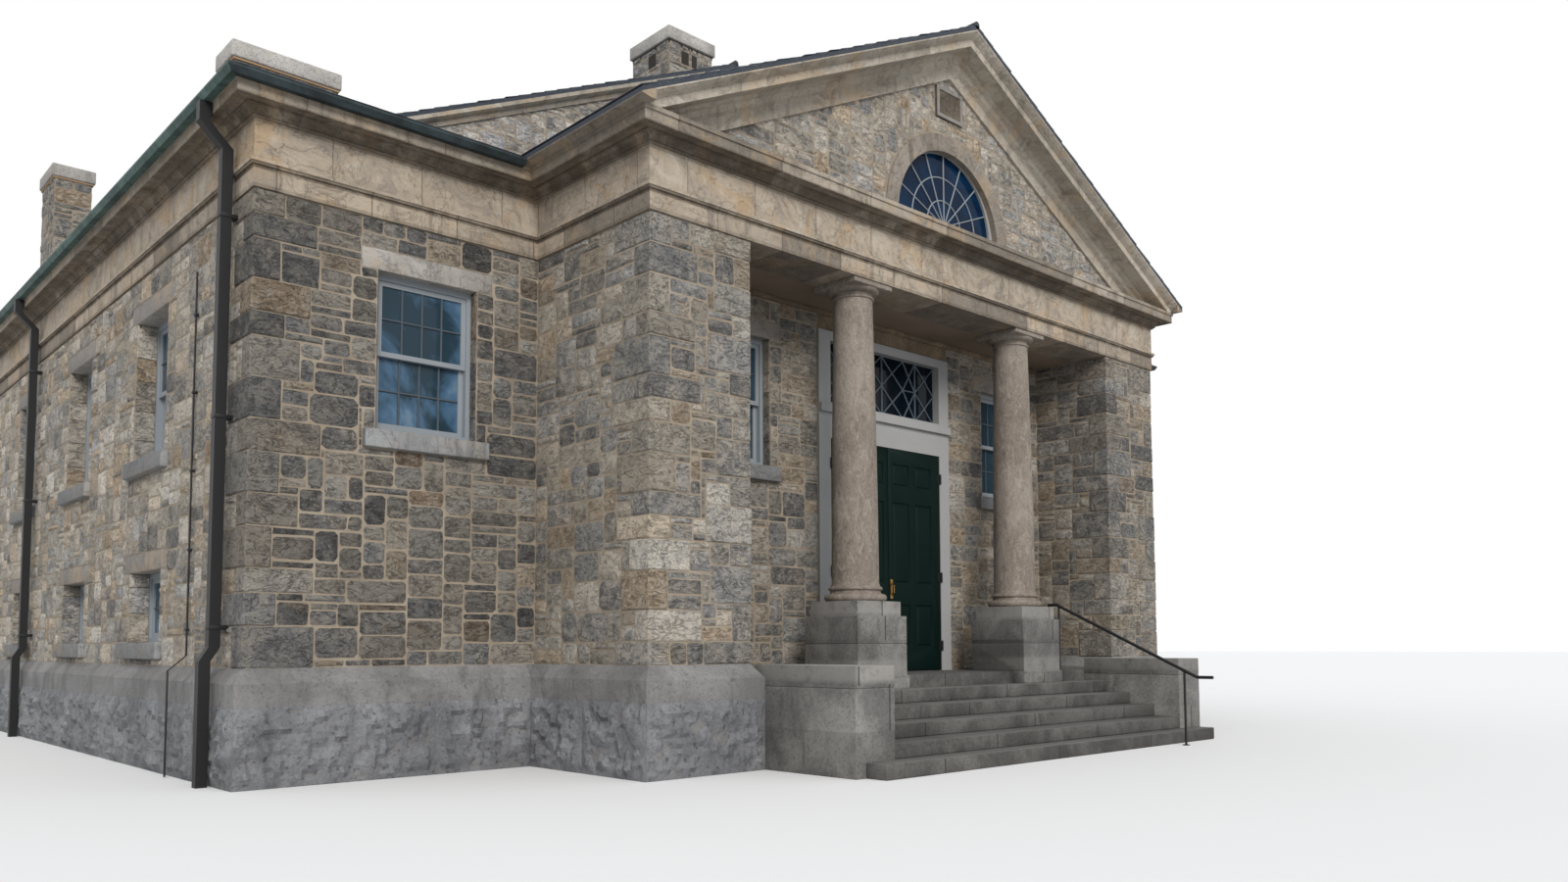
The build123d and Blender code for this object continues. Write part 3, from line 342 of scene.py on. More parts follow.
def columnStone():
    # Weathered granite with short upright streaks
    paint = Paint("columnStone")
    cloud = paint.noise(1.6, 7.0, 0.7, 0.8, (1.0, 1.0, 0.6))
    streak = paint.noise(13.0, 8.0, 0.75, 1.2, (1.0, 1.0, 0.45))
    grain = paint.noise(52.0, 8.0, 0.8, 0.0, (1.0, 1.0, 0.7))
    colour = paint.layers(
        (0.212, 0.178, 0.148),
        (cloud.band(0.38, 0.64), (0.3, 0.26, 0.22)),
        (streak.band(0.5, 0.66) * 0.55, (0.43, 0.385, 0.335)),
        ((1 - streak).band(0.52, 0.68) * 0.55, (0.1, 0.083, 0.068)),
        (grain.band(0.52, 0.68) * 0.6, (0.52, 0.47, 0.41)),
        ((1 - grain).band(0.53, 0.7) * 0.6, (0.07, 0.058, 0.046)),
    )
    return paint.finish(colour, 0.85, paint.bump(streak + grain * 0.5, 0.018, 0.8), Specular_IOR_Level=0.2)


def slateFinish():
    paint = Paint("slate")
    tones = [(0.0, (0.022, 0.03, 0.045)), (0.5, (0.04, 0.05, 0.07)), (1.0, (0.075, 0.085, 0.1))]
    body = paint.ramp(paint.attribute("tone"), tones)
    grain = paint.noise(26.0, 6.0, 0.7, 0.0, (1.0, 1.0, 0.4))
    colour = paint.mix(grain.band(0.45, 0.75) * 0.4, body, (0.1, 0.11, 0.12))
    return paint.finish(colour, 0.55 + grain * 0.2, paint.bump(grain, 0.005, 0.7))


def paintFinish(name, colour, wornAndLit, wear=0.25, roughness=0.5, shine=0.3):
    paint = Paint(name)
    cloud = paint.noise(1.4, 5.0, 0.6)
    grain = paint.noise(30.0, 4.0, 0.6, 0.0, (3.0, 3.0, 0.3))
    grainWear = grain.band(0.55, 0.75) * wear * 0.6
    body = paint.layers(colour, (cloud.band(0.4, 0.7) * wear, wornAndLit), (grainWear, wornAndLit))
    normal = paint.bump(grain, 0.0015, 0.5)
    return paint.finish(body, roughness + grain * 0.12, normal, Specular_IOR_Level=shine)


def glassFinish(name, dark, paintedSky, shine):
    paint = Paint(name)
    wave = paint.noise(2.3, 2.0, 0.4)
    # This noise places a painted sky reflection on the glass, with a brighter painted highlight
    depth = paint.noise(1.1, 5.0, 0.62, 0.9)
    colour = paint.layers(
        dark,
        (depth.band(0.42, 0.58), paintedSky),
        (depth.band(0.56, 0.66) * 0.6, (paintedSky[0] * 2.6, paintedSky[1] * 1.9, paintedSky[2] * 1.5)),
        # Painted shade on the panes of the portico, in front of y = 1.7
        ((paint.axis("Y") < 1.7) * 0.85, dark),
    )
    normal = paint.bump(wave, 0.004, 0.25)
    return paint.finish(colour, 0.03 + wave * 0.03, normal, Specular_IOR_Level=shine)


def copperFinish(name, pale, dark):
    paint = Paint(name)
    cloud = paint.noise(3.0, 6.0, 0.65, 0.5)
    streak = paint.noise(9.0, 5.0, 0.6, 0.2, (1.0, 1.0, 0.3))
    stain = (0.02, 0.03, 0.028)
    colour = paint.layers(dark, (cloud.band(0.35, 0.7), pale), (streak.band(0.55, 0.8) * 0.6, stain))
    return paint.finish(colour, 0.5 + streak * 0.25, paint.bump(cloud, 0.003, 0.5), Metallic=0.25)


def ironFinish():
    paint = Paint("blackIron")
    grain = paint.noise(60.0, 4.0, 0.6)
    rust = paint.noise(5.0, 6.0, 0.7)
    colour = paint.mix(rust.band(0.62, 0.8) * 0.5, (0.018, 0.018, 0.019), (0.06, 0.035, 0.022))
    return paint.finish(colour, 0.42 + grain * 0.2, paint.bump(grain, 0.0015, 0.5), Metallic=0.4)


def brassFinish():
    paint = Paint("agedBrass")
    rub = paint.noise(24.0, 5.0, 0.6)
    colour = paint.mix(rub.band(0.4, 0.7), (0.36, 0.21, 0.07), (0.55, 0.36, 0.13))
    return paint.finish(colour, 0.3 + rub * 0.25, paint.bump(rub, 0.0008, 0.4), Metallic=1.0)


def timberFinish(name, pale, dark):
    paint = Paint(name)
    seam = (paint.axis("X") / 0.14).fromSeam().band(0.005, 0.03)
    grain = paint.noise(12.0, 6.0, 0.6, 0.6, (6.0, 0.6, 6.0))
    colour = paint.layers(dark, (grain.band(0.35, 0.7), pale), ((1 - seam) * 0.7, (0.03, 0.02, 0.012)))
    return paint.finish(colour, 0.6, paint.bump(grain * 0.4 + seam, 0.003, 0.5))


finishes = {
    "stones": rubbleStone(),
    "mortar": mortar(),
    # Its dark bands are soot and painted shade under the taenia, at the top of the frieze and at the
    # architrave's foot
    "ashlar": dressedStone(
        "dressedStone", (0.48, 0.405, 0.32), (0.385, 0.325, 0.258), (0.15, 0.132, 0.113), 0.86,
        courseLevel=5.41, sootAndPaintedShade=((5.375, 0.03, 0.7), (5.79, 0.035, 0.4), (5.2, 0.03, 0.4)),
    ),
    # Its dark band is soot and painted shade on the soffit and bed mould under the corona
    "mouldings": dressedStone(
        "mouldedStone", (0.43, 0.38, 0.315), (0.32, 0.275, 0.22), (0.15, 0.13, 0.108), 1.31,
        sootAndPaintedShade=((5.85, 0.07, 0.75),),
    ),
    "rakes": dressedStone(
        "rakingStone", (0.53, 0.48, 0.41), (0.43, 0.38, 0.31), (0.21, 0.185, 0.155), 1.4, layout="raking"
    ),
    "arch": dressedStone(
        "archStone", (0.325, 0.288, 0.247), (0.25, 0.22, 0.188), (0.125, 0.11, 0.093), math.pi / 9,
        layout="radial",
    ),
    "lintels": dressedStone("lintelStone", (0.45, 0.43, 0.4), (0.36, 0.34, 0.31), (0.22, 0.205, 0.19), 9.0),
    "sills": dressedStone("sillStone", (0.36, 0.37, 0.375), (0.28, 0.285, 0.29), (0.16, 0.163, 0.165), 9.0),
    "porchStone": dressedStone(
        "porchStone", (0.33, 0.26, 0.185), (0.26, 0.2, 0.14), (0.14, 0.105, 0.07), 9.0
    ),
    "plaque": dressedStone("plaqueStone", (0.4, 0.34, 0.26), (0.2, 0.165, 0.125), (0.05, 0.04, 0.03), 9.0),
    # On the steps and blocks the upward faces are paler: wear and painted light
    "steps": granite(
        "stepGranite", (0.165, 0.16, 0.152), (0.068, 0.066, 0.062), (0.03, 0.029, 0.027), 60.0, 0.3,
        joint=1.9, wornAndLit=0.85,
    ),
    # The blocks' crowns get a pale band: painted light on their tops
    "blocks": granite(
        "blockGranite", (0.33, 0.318, 0.295), (0.155, 0.151, 0.146), (0.053, 0.051, 0.049), 60.0, 0.35,
        joint=1.07, rise=0.42, wornAndLit=0.9, litCrowns=(highOf("cheek_walls").z, highOf("pedestals").z),
    ),
    "plinth": granite(
        "plinthStone", (0.262, 0.257, 0.255), (0.17, 0.167, 0.165), (0.08, 0.079, 0.079), 60.0, 0.25,
        rough=0.012,
    ),
    "rockFace": granite(
        "rockFace", (0.31, 0.315, 0.328), (0.195, 0.2, 0.212), (0.08, 0.083, 0.092), 50.0, 0.25, rough=0.055
    ),
    "columns": columnStone(),
    "slates": slateFinish(),
    "caps": granite("capStone", (0.52, 0.5, 0.47), (0.34, 0.325, 0.3), (0.16, 0.15, 0.14), 70.0),
    "floors": timberFinish("floorBoards", (0.27, 0.17, 0.09), (0.15, 0.09, 0.045)),
    "plates": timberFinish("plateTimber", (0.3, 0.22, 0.14), (0.18, 0.13, 0.08)),
    "ceiling": paintFinish("ceilingPlaster", (0.235, 0.178, 0.132), (0.165, 0.124, 0.09), 0.6, 0.8),
    "windowPaint": paintFinish("windowPaint", (0.27, 0.3, 0.325), (0.18, 0.2, 0.22)),
    "barPaint": paintFinish("barPaint", (0.11, 0.14, 0.165), (0.07, 0.09, 0.11)),
    # The sashes' paint darkened: painted shade on the glazing bars
    "shadedSashPaint": paintFinish("shadedSashPaint", (0.08, 0.1, 0.12), (0.05, 0.065, 0.08)),
    "casingPaint": paintFinish("casingPaint", (0.35, 0.35, 0.35), (0.24, 0.24, 0.24)),
    "doorPaint": paintFinish("doorPaint", (0.0022, 0.0105, 0.0085), (0.005, 0.016, 0.013), 0.3, 0.5, 0.1),
    # The second colour of each glass is a painted sky reflection
    "glass": glassFinish("glass", (0.02, 0.043, 0.062), (0.066, 0.135, 0.22), 0.2),
    "porchGlass": glassFinish("porchGlass", (0.001, 0.002, 0.003), (0.012, 0.03, 0.06), 0.12),
    "blueGlass": glassFinish("blueGlass", (0.002, 0.012, 0.035), (0.006, 0.085, 0.215), 0.08),
    "copper": copperFinish("copperPatina", (0.1, 0.17, 0.15), (0.03, 0.065, 0.058)),
    "lead": copperFinish("darkGutterPaint", (0.04, 0.06, 0.068), (0.012, 0.019, 0.022)),
    "iron": ironFinish(),
    # A dark finish for painted shade on the ridge chimney: the band under its cap and its vent openings
    "sootAndPaintedShade": paintFinish("sootAndPaintedShade", (0.03, 0.027, 0.024), (0.05, 0.045, 0.04), 0.5, 0.9),
    "orangeMortar": paintFinish("orangeMortar", (0.42, 0.27, 0.15), (0.33, 0.23, 0.15), 0.6, 0.9),
    "brass": brassFinish(),
}
print("finishes made:", len(finishes))

nodeFinish = {
    "mortar": [
        "front_walls", "side_walls", "back_wall", "piers", "entrance_walls", "gable_walls", "tympanum_wall",
        "chimneys",
    ],
    "ashlar": ["entablature_fronts", "entablature_sides"],
    "mouldings": ["cornice_fronts", "cornice_sides", "portico_eave_courses"],
    "rakes": ["rakes_left", "rakes_right"],
    "arch": ["lunette_arch"],
    "lintels": ["window_lintels"],
    "sills": ["window_sills"],
    "porchStone": ["entrance_lintel"],
    "plaque": ["date_stone"],
    "steps": ["step_treads", "step_foundation", "porch_floor"],
    "blocks": ["cheek_walls", "pedestals"],
    "plinth": ["plinth_sides", "plinth_front_and_back", "plinth_piers"],
    "columns": ["column_bases", "column_shafts", "column_capitals"],
    "slates": ["roof_left", "roof_right", "pent_roofs"],
    "caps": ["chimney_caps"],
    "floors": ["hall_floor", "attic_floor"],
    "plates": ["wall_plates"],
    "ceiling": ["porch_ceiling"],
    "windowPaint": ["window_frames", "window_sashes"],
    "casingPaint": ["door_frame", "lunette_frame"],
    "doorPaint": ["door_leaf_left", "door_leaf_right"],
    "glass": ["window_glass"],
    "porchGlass": ["transom_glass"],
    "blueGlass": ["lunette_glass"],
    "copper": ["side_gutters"],
    "lead": ["front_gutters"],
    "iron": ["downpipes", "handrail", "door_hinges_left", "door_hinges_right"],
    "brass": ["door_handle"],
}


def paintWith(thing, finish):
    thing.data.materials.clear()
    thing.data.materials.append(finishes[finish])


for finishName, names in nodeFinish.items():
    for nodeName in names:
        paintWith(nodes[nodeName], finishName)
print("nodes dressed")


# Many small things are gathered in one mesh
class Heap:
    def __init__(self):
        self.points = []
        self.faces = []
        self.tones = []
        self.shades = []

    def add(self, points, faces, tone=0.5, shade=0.5):
        start = len(self.points)
        self.points += points
        self.faces += [[start + i for i in face] for face in faces]
        self.tones += [tone] * len(points)
        self.shades += [shade] * len(points)

    def piece(self, name, finish, slot, angle=35):
        mesh = bpy.data.meshes.new(name)
        mesh.from_pydata([tuple(p) for p in self.points], [], self.faces)
        for key, values in (("tone", self.tones), ("shade", self.shades)):
            layer = mesh.attributes.new(key, "FLOAT", "POINT")
            layer.data.foreach_set("value", values)
        thing = bpy.data.objects.new(name, mesh)
        bpy.context.scene.collection.objects.link(thing)
        print(name, len(self.faces), "faces")
        return settle(thing, finish, slot, angle)


def onlySelect(thing):
    bpy.ops.object.select_all(action="DESELECT")
    thing.select_set(True)
    bpy.context.view_layer.objects.active = thing


def settle(thing, finish, slot, angle=35, body="building"):
    # The finish, shading and body of a new piece
    onlySelect(thing)
    bpy.ops.object.shade_smooth_by_angle(angle=math.radians(angle))
    paintWith(thing, finish)
    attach(thing, body)
    return thing


def added(name, operator, **settings):
    # The object that an operator of bpy.ops adds
    bpy.ops.object.select_all(action="DESELECT")
    operator(**settings)
    thing = bpy.context.active_object
    thing.name = name
    return thing


def toOrigin():
    bpy.ops.object.transform_apply(location=True, rotation=True, scale=True)


def editWhole(thing, work):
    # Does the work in edit mode, with the whole mesh selected
    onlySelect(thing)
    bpy.ops.object.mode_set(mode="EDIT")
    bpy.ops.mesh.select_all(action="SELECT")
    work()
    bpy.ops.object.mode_set(mode="OBJECT")


def faceOutward():
    bpy.ops.mesh.select_all(action="SELECT")
    bpy.ops.mesh.normals_make_consistent(inside=False)


boxFaces = [(0, 3, 2, 1), (4, 5, 6, 7), (0, 1, 5, 4), (1, 2, 6, 5), (2, 3, 7, 6), (3, 0, 4, 7)]


# Faces of the walls: a WallFace turns distance along, height and distance out into a place
class WallFace:
    def __init__(self, corner, along, outward, length):
        self.corner = Vector(corner)
        self.along = Vector(along)
        self.outward = Vector(outward)
        self.length = length
        # Points run round the outside the right way when along x up looks along outward
        self.turned = self.along.cross(Vector((0, 0, 1))).dot(self.outward) < 0

    def facing(self, faces):
        return [tuple(reversed(f)) for f in faces] if self.turned else faces

    def at(self, u, v, out):
        return self.corner + self.along * u + Vector((0, 0, v)) + self.outward * out

    def reach(self, box):
        # The stretch of the wall that a box covers, or None if it is on another wall
        low, high = box
        middle = (low + high) / 2 - self.corner
        if abs(middle.dot(self.outward)) > 0.3:
            return None
        ends = sorted(((low - self.corner).dot(self.along), (high - self.corner).dot(self.along)))
        if ends[1] < 0 or ends[0] > self.length:
            return None
        return (ends[0], ends[1], low.z, high.z)


def islandBoxes(name):
    # The box of each separate solid of a node, in order of place so that each run draws alike
    work = bmesh.new()
    work.from_mesh(nodes[name].data)
    bmesh.ops.remove_doubles(work, verts=work.verts, dist=0.00001)
    boxes = []
    unseen = set(work.verts)
    while unseen:
        found = [unseen.pop()]
        for vertex in found:
            for link in vertex.link_edges:
                other = link.other_vert(vertex)
                if other in unseen:
                    unseen.remove(other)
                    found.append(other)
        low = Vector([min(v.co[i] for v in found) for i in range(3)])
        high = Vector([max(v.co[i] for v in found) for i in range(3)])
        boxes.append((low, high))
    work.free()
    return sorted(boxes, key=lambda box: [round(value, 4) for corner in box for value in corner])


windowBoxes = islandBoxes("window_frames")
closedBoxes = windowBoxes + islandBoxes("window_lintels") + islandBoxes("window_sills")
chimneyBoxes = islandBoxes("chimneys")

stonework = {
    "cell": 0.072,
    "widths": (0.13, 0.52, 0.24),
    "heights": (0.09, 0.14, 0.14, 0.2, 0.2, 0.27),
    "joint": 0.007,
    "wobble": 0.012,
    "corner": (0.04, 0.19),
    "least": 0.045,
    # The rings of a stone's face, from the mortar to its middle
    "sunk": 0.01,
    "lip": (0.002, 0.001),
    "inset": (0.018, 0.2),
    "rise": (0.004, 0.017),
    "shoulder": (0.75, 0.002),
    "crown": (0.5, 0.0045),
    "peak": (-0.003, 0.005),
    "quoinRows": (3, 5),
    "quoinLong": (0.4, 0.62),
    "quoinShort": (0.2, 0.3),
    "quoinProud": (0.008, 0.016),
    "quoinBevel": 0.012,
    "endGap": 0.02,
    "nearLine": 0.022,
    "leastRow": 0.004,
    "sliver": 0.1,
    # For each part of the walls, the share of grey stones and the range of their lightness.
    # The ranges hold painted light and shade too: the sunlit side walls, pediment and gable paler, the wing,
    # porch and right pier darker
    "wing": (0.6, 0.02, 0.45),
    "pier": (0.4, 0.33, 0.98),
    "rightPier": (0.3, 0.1, 0.66),
    "porch": (0.1, 0.17, 0.77),
    "side": (0.25, 0.55, 1.2),
    "back": (0.4, 0.2, 0.8),
    "pediment": (0.5, 0.85, 1.2),
    "gable": (0.97, 1.05, 1.45),
    "chimney": (0.95, 0.5, 0.75),
}


def gridLines(start, end, stops, cell):
    # Even lines from start to end, with the stops put in and near neighbours dropped
    count = max(1, round((end - start) / cell))
    even = [start + (end - start) * i / count for i in range(1, count)]
    gap = stonework["endGap"]
    firm = {round(s, 4) for s in stops if start + gap < s < end - gap}
    kept = [line for line in even if all(abs(line - s) > stonework["nearLine"] for s in firm)]
    return sorted([start, *kept, *firm, end])


def packStones(columns, rows, blocked):
    # Fills the free cells of a grid with squared stones of mixed sizes
    wide = len(columns) - 1
    tall = len(rows) - 1
    taken = [
        [blocked((columns[i] + columns[i + 1]) / 2, (rows[j] + rows[j + 1]) / 2) for i in range(wide)]
        for j in range(tall)
    ]
    stones = []
    for j in range(tall):
        for i in range(wide):
            if taken[j][i]:
                continue
            width = chance.triangular(*stonework["widths"])
            height = chance.choice(stonework["heights"])
            right = i + 1
            while right < wide and not taken[j][right] and columns[right] - columns[i] < width:
                right += 1
            spare = right
            sliver = columns[right] + stonework["sliver"]
            while spare < wide and not taken[j][spare] and columns[spare] < sliver:
                spare += 1
            if spare >= wide or taken[j][spare]:
                right = spare
            top = j + 1
            while (
                top < tall
                and rows[top] - rows[j] < height - stonework["endGap"]
                and not any(taken[top][k] for k in range(i, right))
            ):
                top += 1
            for row in range(j, top):
                for k in range(i, right):
                    taken[row][k] = True
            stones.append((columns[i], columns[right], rows[j], rows[top]))
    return stones


def stonePillow(heap, face, stone, tone, shade):
    # One rough-faced stone, closed, with its back sunk in the mortar
    joint = stonework["joint"] / 2
    u0, u1, v0, v1 = stone[0] + joint, stone[1] - joint, stone[2] + joint, stone[3] - joint
    if min(u1 - u0, v1 - v0) < stonework["least"] / 2:
        return
    wobble = stonework["wobble"]
    cut = min(u1 - u0, v1 - v0) * chance.uniform(*stonework["corner"])
    outline = [
        (u0 + cut, v0), (u1 - cut, v0), (u1, v0 + cut), (u1, v1 - cut),
        (u1 - cut, v1), (u0 + cut, v1), (u0, v1 - cut), (u0, v0 + cut),
    ]
    middle = ((u0 + u1) / 2, (v0 + v1) / 2)
    outline = [
        [a + math.copysign(chance.uniform(0, wobble), centre - a) for a, centre in zip(spot, middle)]
        for spot in outline
    ]
    rise = chance.uniform(*stonework["rise"])
    most, share = stonework["inset"]
    inset = min(most, (u1 - u0) * share, (v1 - v0) * share)
    shrinkU = 1 - 2 * inset / (u1 - u0)
    shrinkV = 1 - 2 * inset / (v1 - v0)

    def ring(scaleU, scaleV, out, roughness):
        return [
            face.at(
                middle[0] + (u - middle[0]) * scaleU,
                middle[1] + (v - middle[1]) * scaleV,
                out + chance.uniform(-roughness, roughness),
            )
            for u, v in outline
        ]

    shoulder, shoulderRough = stonework["shoulder"]
    crown, crownRough = stonework["crown"]
    points = [
        *ring(1, 1, -stonework["sunk"], 0),
        *ring(1, 1, *stonework["lip"]),
        *ring(shrinkU, shrinkV, rise * shoulder, shoulderRough),
        *ring(crown, crown, rise, crownRough),
        face.at(*middle, rise + chance.uniform(*stonework["peak"])),
    ]
    faces = [tuple(reversed(range(8)))]
    for level in range(3):
        for i in range(8):
            a = level * 8 + i
            b = level * 8 + (i + 1) % 8
            faces.append((a, b, b + 8, a + 8))
    faces += [(24 + i, 24 + (i + 1) % 8, 32) for i in range(8)]
    heap.add(points, face.facing(faces), tone, shade)


def pickTone(region):
    # Greys or the full range with pale, ochre and brown stones, and a lightness that holds painted light and
    # shade as well as the stone's own tone
    greys, low, high = stonework[region]
    if chance.random() < greys:
        tone = chance.choice((0.08, 0.16, 0.22, 0.28, 0.33, 0.38, 0.43, 0.48, 0.55, 0.76))
    else:
        tone = chance.choice((0.1, 0.3, 0.43, 0.5, 0.56, 0.62, 0.68, 0.74, 0.8, 0.84, 0.88, 0.92, 0.97))
    return min(1.0, max(0.0, tone + chance.uniform(-0.04, 0.04))), chance.uniform(low, high)


courseLines = gridLines(wallLow, wallTop, [], stonework["cell"])


class Corner:
    # Quoins at an outside corner, long and short in turn on each wall
    def __init__(self, x, y, towardX, towardY, region):
        self.region = region
        self.place = Vector((x, y, 0))
        self.toward = (towardX, towardY)
        self.blocks = []
        row = 0
        turn = chance.random() < 0.5
        last = len(courseLines) - 1
        while row < last:
            step = chance.randint(*stonework["quoinRows"])
            if last - row - step < stonework["quoinRows"][0]:
                step = last - row
            long, short = chance.uniform(*stonework["quoinLong"]), chance.uniform(*stonework["quoinShort"])
            sizes = (long, short) if turn else (short, long)
            self.blocks.append((courseLines[row], courseLines[row + step], *sizes))
            row += step
            turn = not turn

    def build(self, heap):
        joint = stonework["joint"] / 2
        for low, high, lengthX, lengthY in self.blocks:
            proud = chance.uniform(*stonework["quoinProud"])
            x, y = (
                sorted((place - toward * proud, place + toward * (length - joint)))
                for place, toward, length in zip(self.place, self.toward, (lengthX, lengthY))
            )
            start, end = (x[0], y[0], low + joint), (x[1], y[1], high - joint)
            heap.add(*roughBlock(start, end, stonework["quoinBevel"]), *pickTone(self.region))


def roughBlock(low, high, bevel):
    # A box with chamfered edges and slightly uneven corners: 24 points, 26 faces
    low, high = Vector(low), Vector(high)
    points = []
    index = {}
    for corner in range(8):
        sign = [1 if corner >> axis & 1 else -1 for axis in range(3)]
        nudge = [chance.uniform(-0.3, 0.3) * bevel for axis in range(3)]
        for axis in range(3):
            point = Vector([high[i] if sign[i] > 0 else low[i] for i in range(3)])
            for other in range(3):
                if other != axis:
                    point[other] -= sign[other] * bevel
                    point[other] += nudge[other]
            index[corner, axis] = len(points)
            points.append(point)
    faces = []
    turns = ((0, 0), (1, 0), (1, 1), (0, 1))
    for axis in range(3):
        first, second = (axis + 1) % 3, (axis + 2) % 3
        for side in (0, 1):
            loop = [side << axis | a << first | b << second for a, b in turns]
            ring = [index[corner, axis] for corner in loop]
            faces.append(ring if side else ring[::-1])
        # The edges that run along this axis
        for a, b in turns:
            start = a << first | b << second
            end = start | 1 << axis
            ring = [index[start, first], index[end, first], index[end, second], index[start, second]]
            faces.append(ring[::-1] if a == b else ring)
    for corner in range(8):
        ring = [index[corner, 0], index[corner, 1], index[corner, 2]]
        odd = (corner & 1) + (corner >> 1 & 1) + (corner >> 2 & 1)
        faces.append(ring if odd % 2 else ring[::-1])
    return points, faces


corners = {
    "wingLeft": Corner(-bodyHalf, bodyFront, 1, 1, "wing"),
    "wingRight": Corner(bodyHalf, bodyFront, -1, 1, "wing"),
    "backLeft": Corner(-bodyHalf, bodyBack, 1, -1, "back"),
    "backRight": Corner(bodyHalf, bodyBack, -1, -1, "back"),
    "pierLeftOuter": Corner(-porticoHalf, 0, 1, 1, "pier"),
    "pierRightOuter": Corner(porticoHalf, 0, -1, 1, "rightPier"),
    "pierLeftInner": Corner(-pierInner, 0, -1, 1, "pier"),
    "pierRightInner": Corner(pierInner, 0, 1, 1, "rightPier"),
}


def faceWall(heap, face, region, low, high, edges=(), extra=(), allowed=None):
    # Rubble over one wall face, round its windows and beside its quoins
    blocks = [found for found in map(face.reach, closedBoxes) if found]
    for corner in edges:
        for z0, z1, lengthX, lengthY in corner.blocks:
            length = lengthX if abs(face.along.x) > 0.5 else lengthY
            start = (corner.place - face.corner).dot(face.along)
            span = (start, start + length) if start < face.length / 2 else (start - length, start)
            blocks.append((*span, z0, z1))
    blocks += list(extra)
    columns = gridLines(0, face.length, [b[0] for b in blocks] + [b[1] for b in blocks], stonework["cell"])
    levels = [b[2] for b in blocks] + [b[3] for b in blocks]
    rows = gridLines(low, high, levels, stonework["cell"])
    rows = [r for i, r in enumerate(rows) if i == 0 or r - rows[i - 1] > stonework["leastRow"]]

    def blocked(u, v):
        if any(b[0] < u < b[1] and b[2] < v < b[3] for b in blocks):
            return True
        return allowed is not None and not allowed(u, v)

    for stone in packStones(columns, rows, blocked):
        stonePillow(heap, face, stone, *pickTone(region))


def frontFace(x0, x1, y):
    return WallFace((x0, y, 0), (1, 0, 0), (0, -1, 0), x1 - x0)


def sideFace(x, y0, y1, outward):
    return WallFace((x, y0, 0), (0, 1, 0), (outward, 0, 0), y1 - y0)


def backFace(x0, x1, y):
    return WallFace((x0, y, 0), (1, 0, 0), (0, 1, 0), x1 - x0)


def buildStonework():
    heap = Heap()
    for x0, x1, edge in ((-bodyHalf, -porticoHalf, "wingLeft"), (porticoHalf, bodyHalf, "wingRight")):
        faceWall(heap, frontFace(x0, x1, bodyFront), "wing", wallLow, wallTop, [corners[edge]])
    for side, word, region in ((-1, "Left", "pier"), (1, "Right", "rightPier")):
        outer, inner = corners[f"pier{word}Outer"], corners[f"pier{word}Inner"]
        x0, x1 = sorted((side * pierInner, side * porticoHalf))
        faceWall(heap, frontFace(x0, x1, 0), region, wallLow, wallTop, [outer, inner])
        faceWall(heap, sideFace(side * porticoHalf, 0, bodyFront, side), region, wallLow, wallTop, [outer])
        faceWall(heap, sideFace(side * pierInner, 0, entranceFace, -side), region, wallLow, wallTop, [inner])
        x0, x1 = sorted((side * casingHalf, side * pierInner))
        faceWall(heap, frontFace(x0, x1, entranceFace), "porch", floorLevel, wallTop)
    for corner in corners.values():
        corner.build(heap)
    heap.piece("front_rubble", "stones", "rubble")

    for name, region, face, edges in (
        ("left", "side", sideFace(-bodyHalf, bodyFront, bodyBack, -1), ("wingLeft", "backLeft")),
        ("right", "side", sideFace(bodyHalf, bodyFront, bodyBack, 1), ("wingRight", "backRight")),
        ("back", "back", backFace(-bodyHalf, bodyHalf, bodyBack), ("backLeft", "backRight")),
    ):
        heap = Heap()
        faceWall(heap, face, region, wallLow, wallTop, [corners[edge] for edge in edges])
        heap.piece(f"{name}_rubble", "stones", "rubble")


roof = {
    "mainSlope": 0.4737,
    "porticoSlope": 0.4923,
    "slab": 0.045,
    "coronaOut": 0.26,
    "cymaOut": 0.357,
    "drip": 0.03,
    "rakeOut": 0.12,
    "slateWidth": 0.29,
    "slateExposure": 0.205,
    "slateLength": 0.36,
    "slateThick": 0.008,
    "slateTilt": 0.012,
    "slateSpread": 0.02,
    "slateGap": 0.002,
    "slateLift": 0.0015,
    "slateSunk": 0.004,
    "chimneyGap": 0.05,
    "stubGap": 0.1,
}


def mainUnder(x):
    return eaveLevel + roof["mainSlope"] * (bodyHalf + roof["coronaOut"] - abs(x))


porticoRidge = 8.526


def porticoUnder(x):
    return porticoRidge - roof["slab"] - roof["porticoSlope"] * abs(x)


# How far the stones of the gables keep from what stands round them
gables = {"below": 0.12, "under": 0.04, "ends": 0.9, "arch": 0.03, "rake": 0.3, "sunk": 0.02}


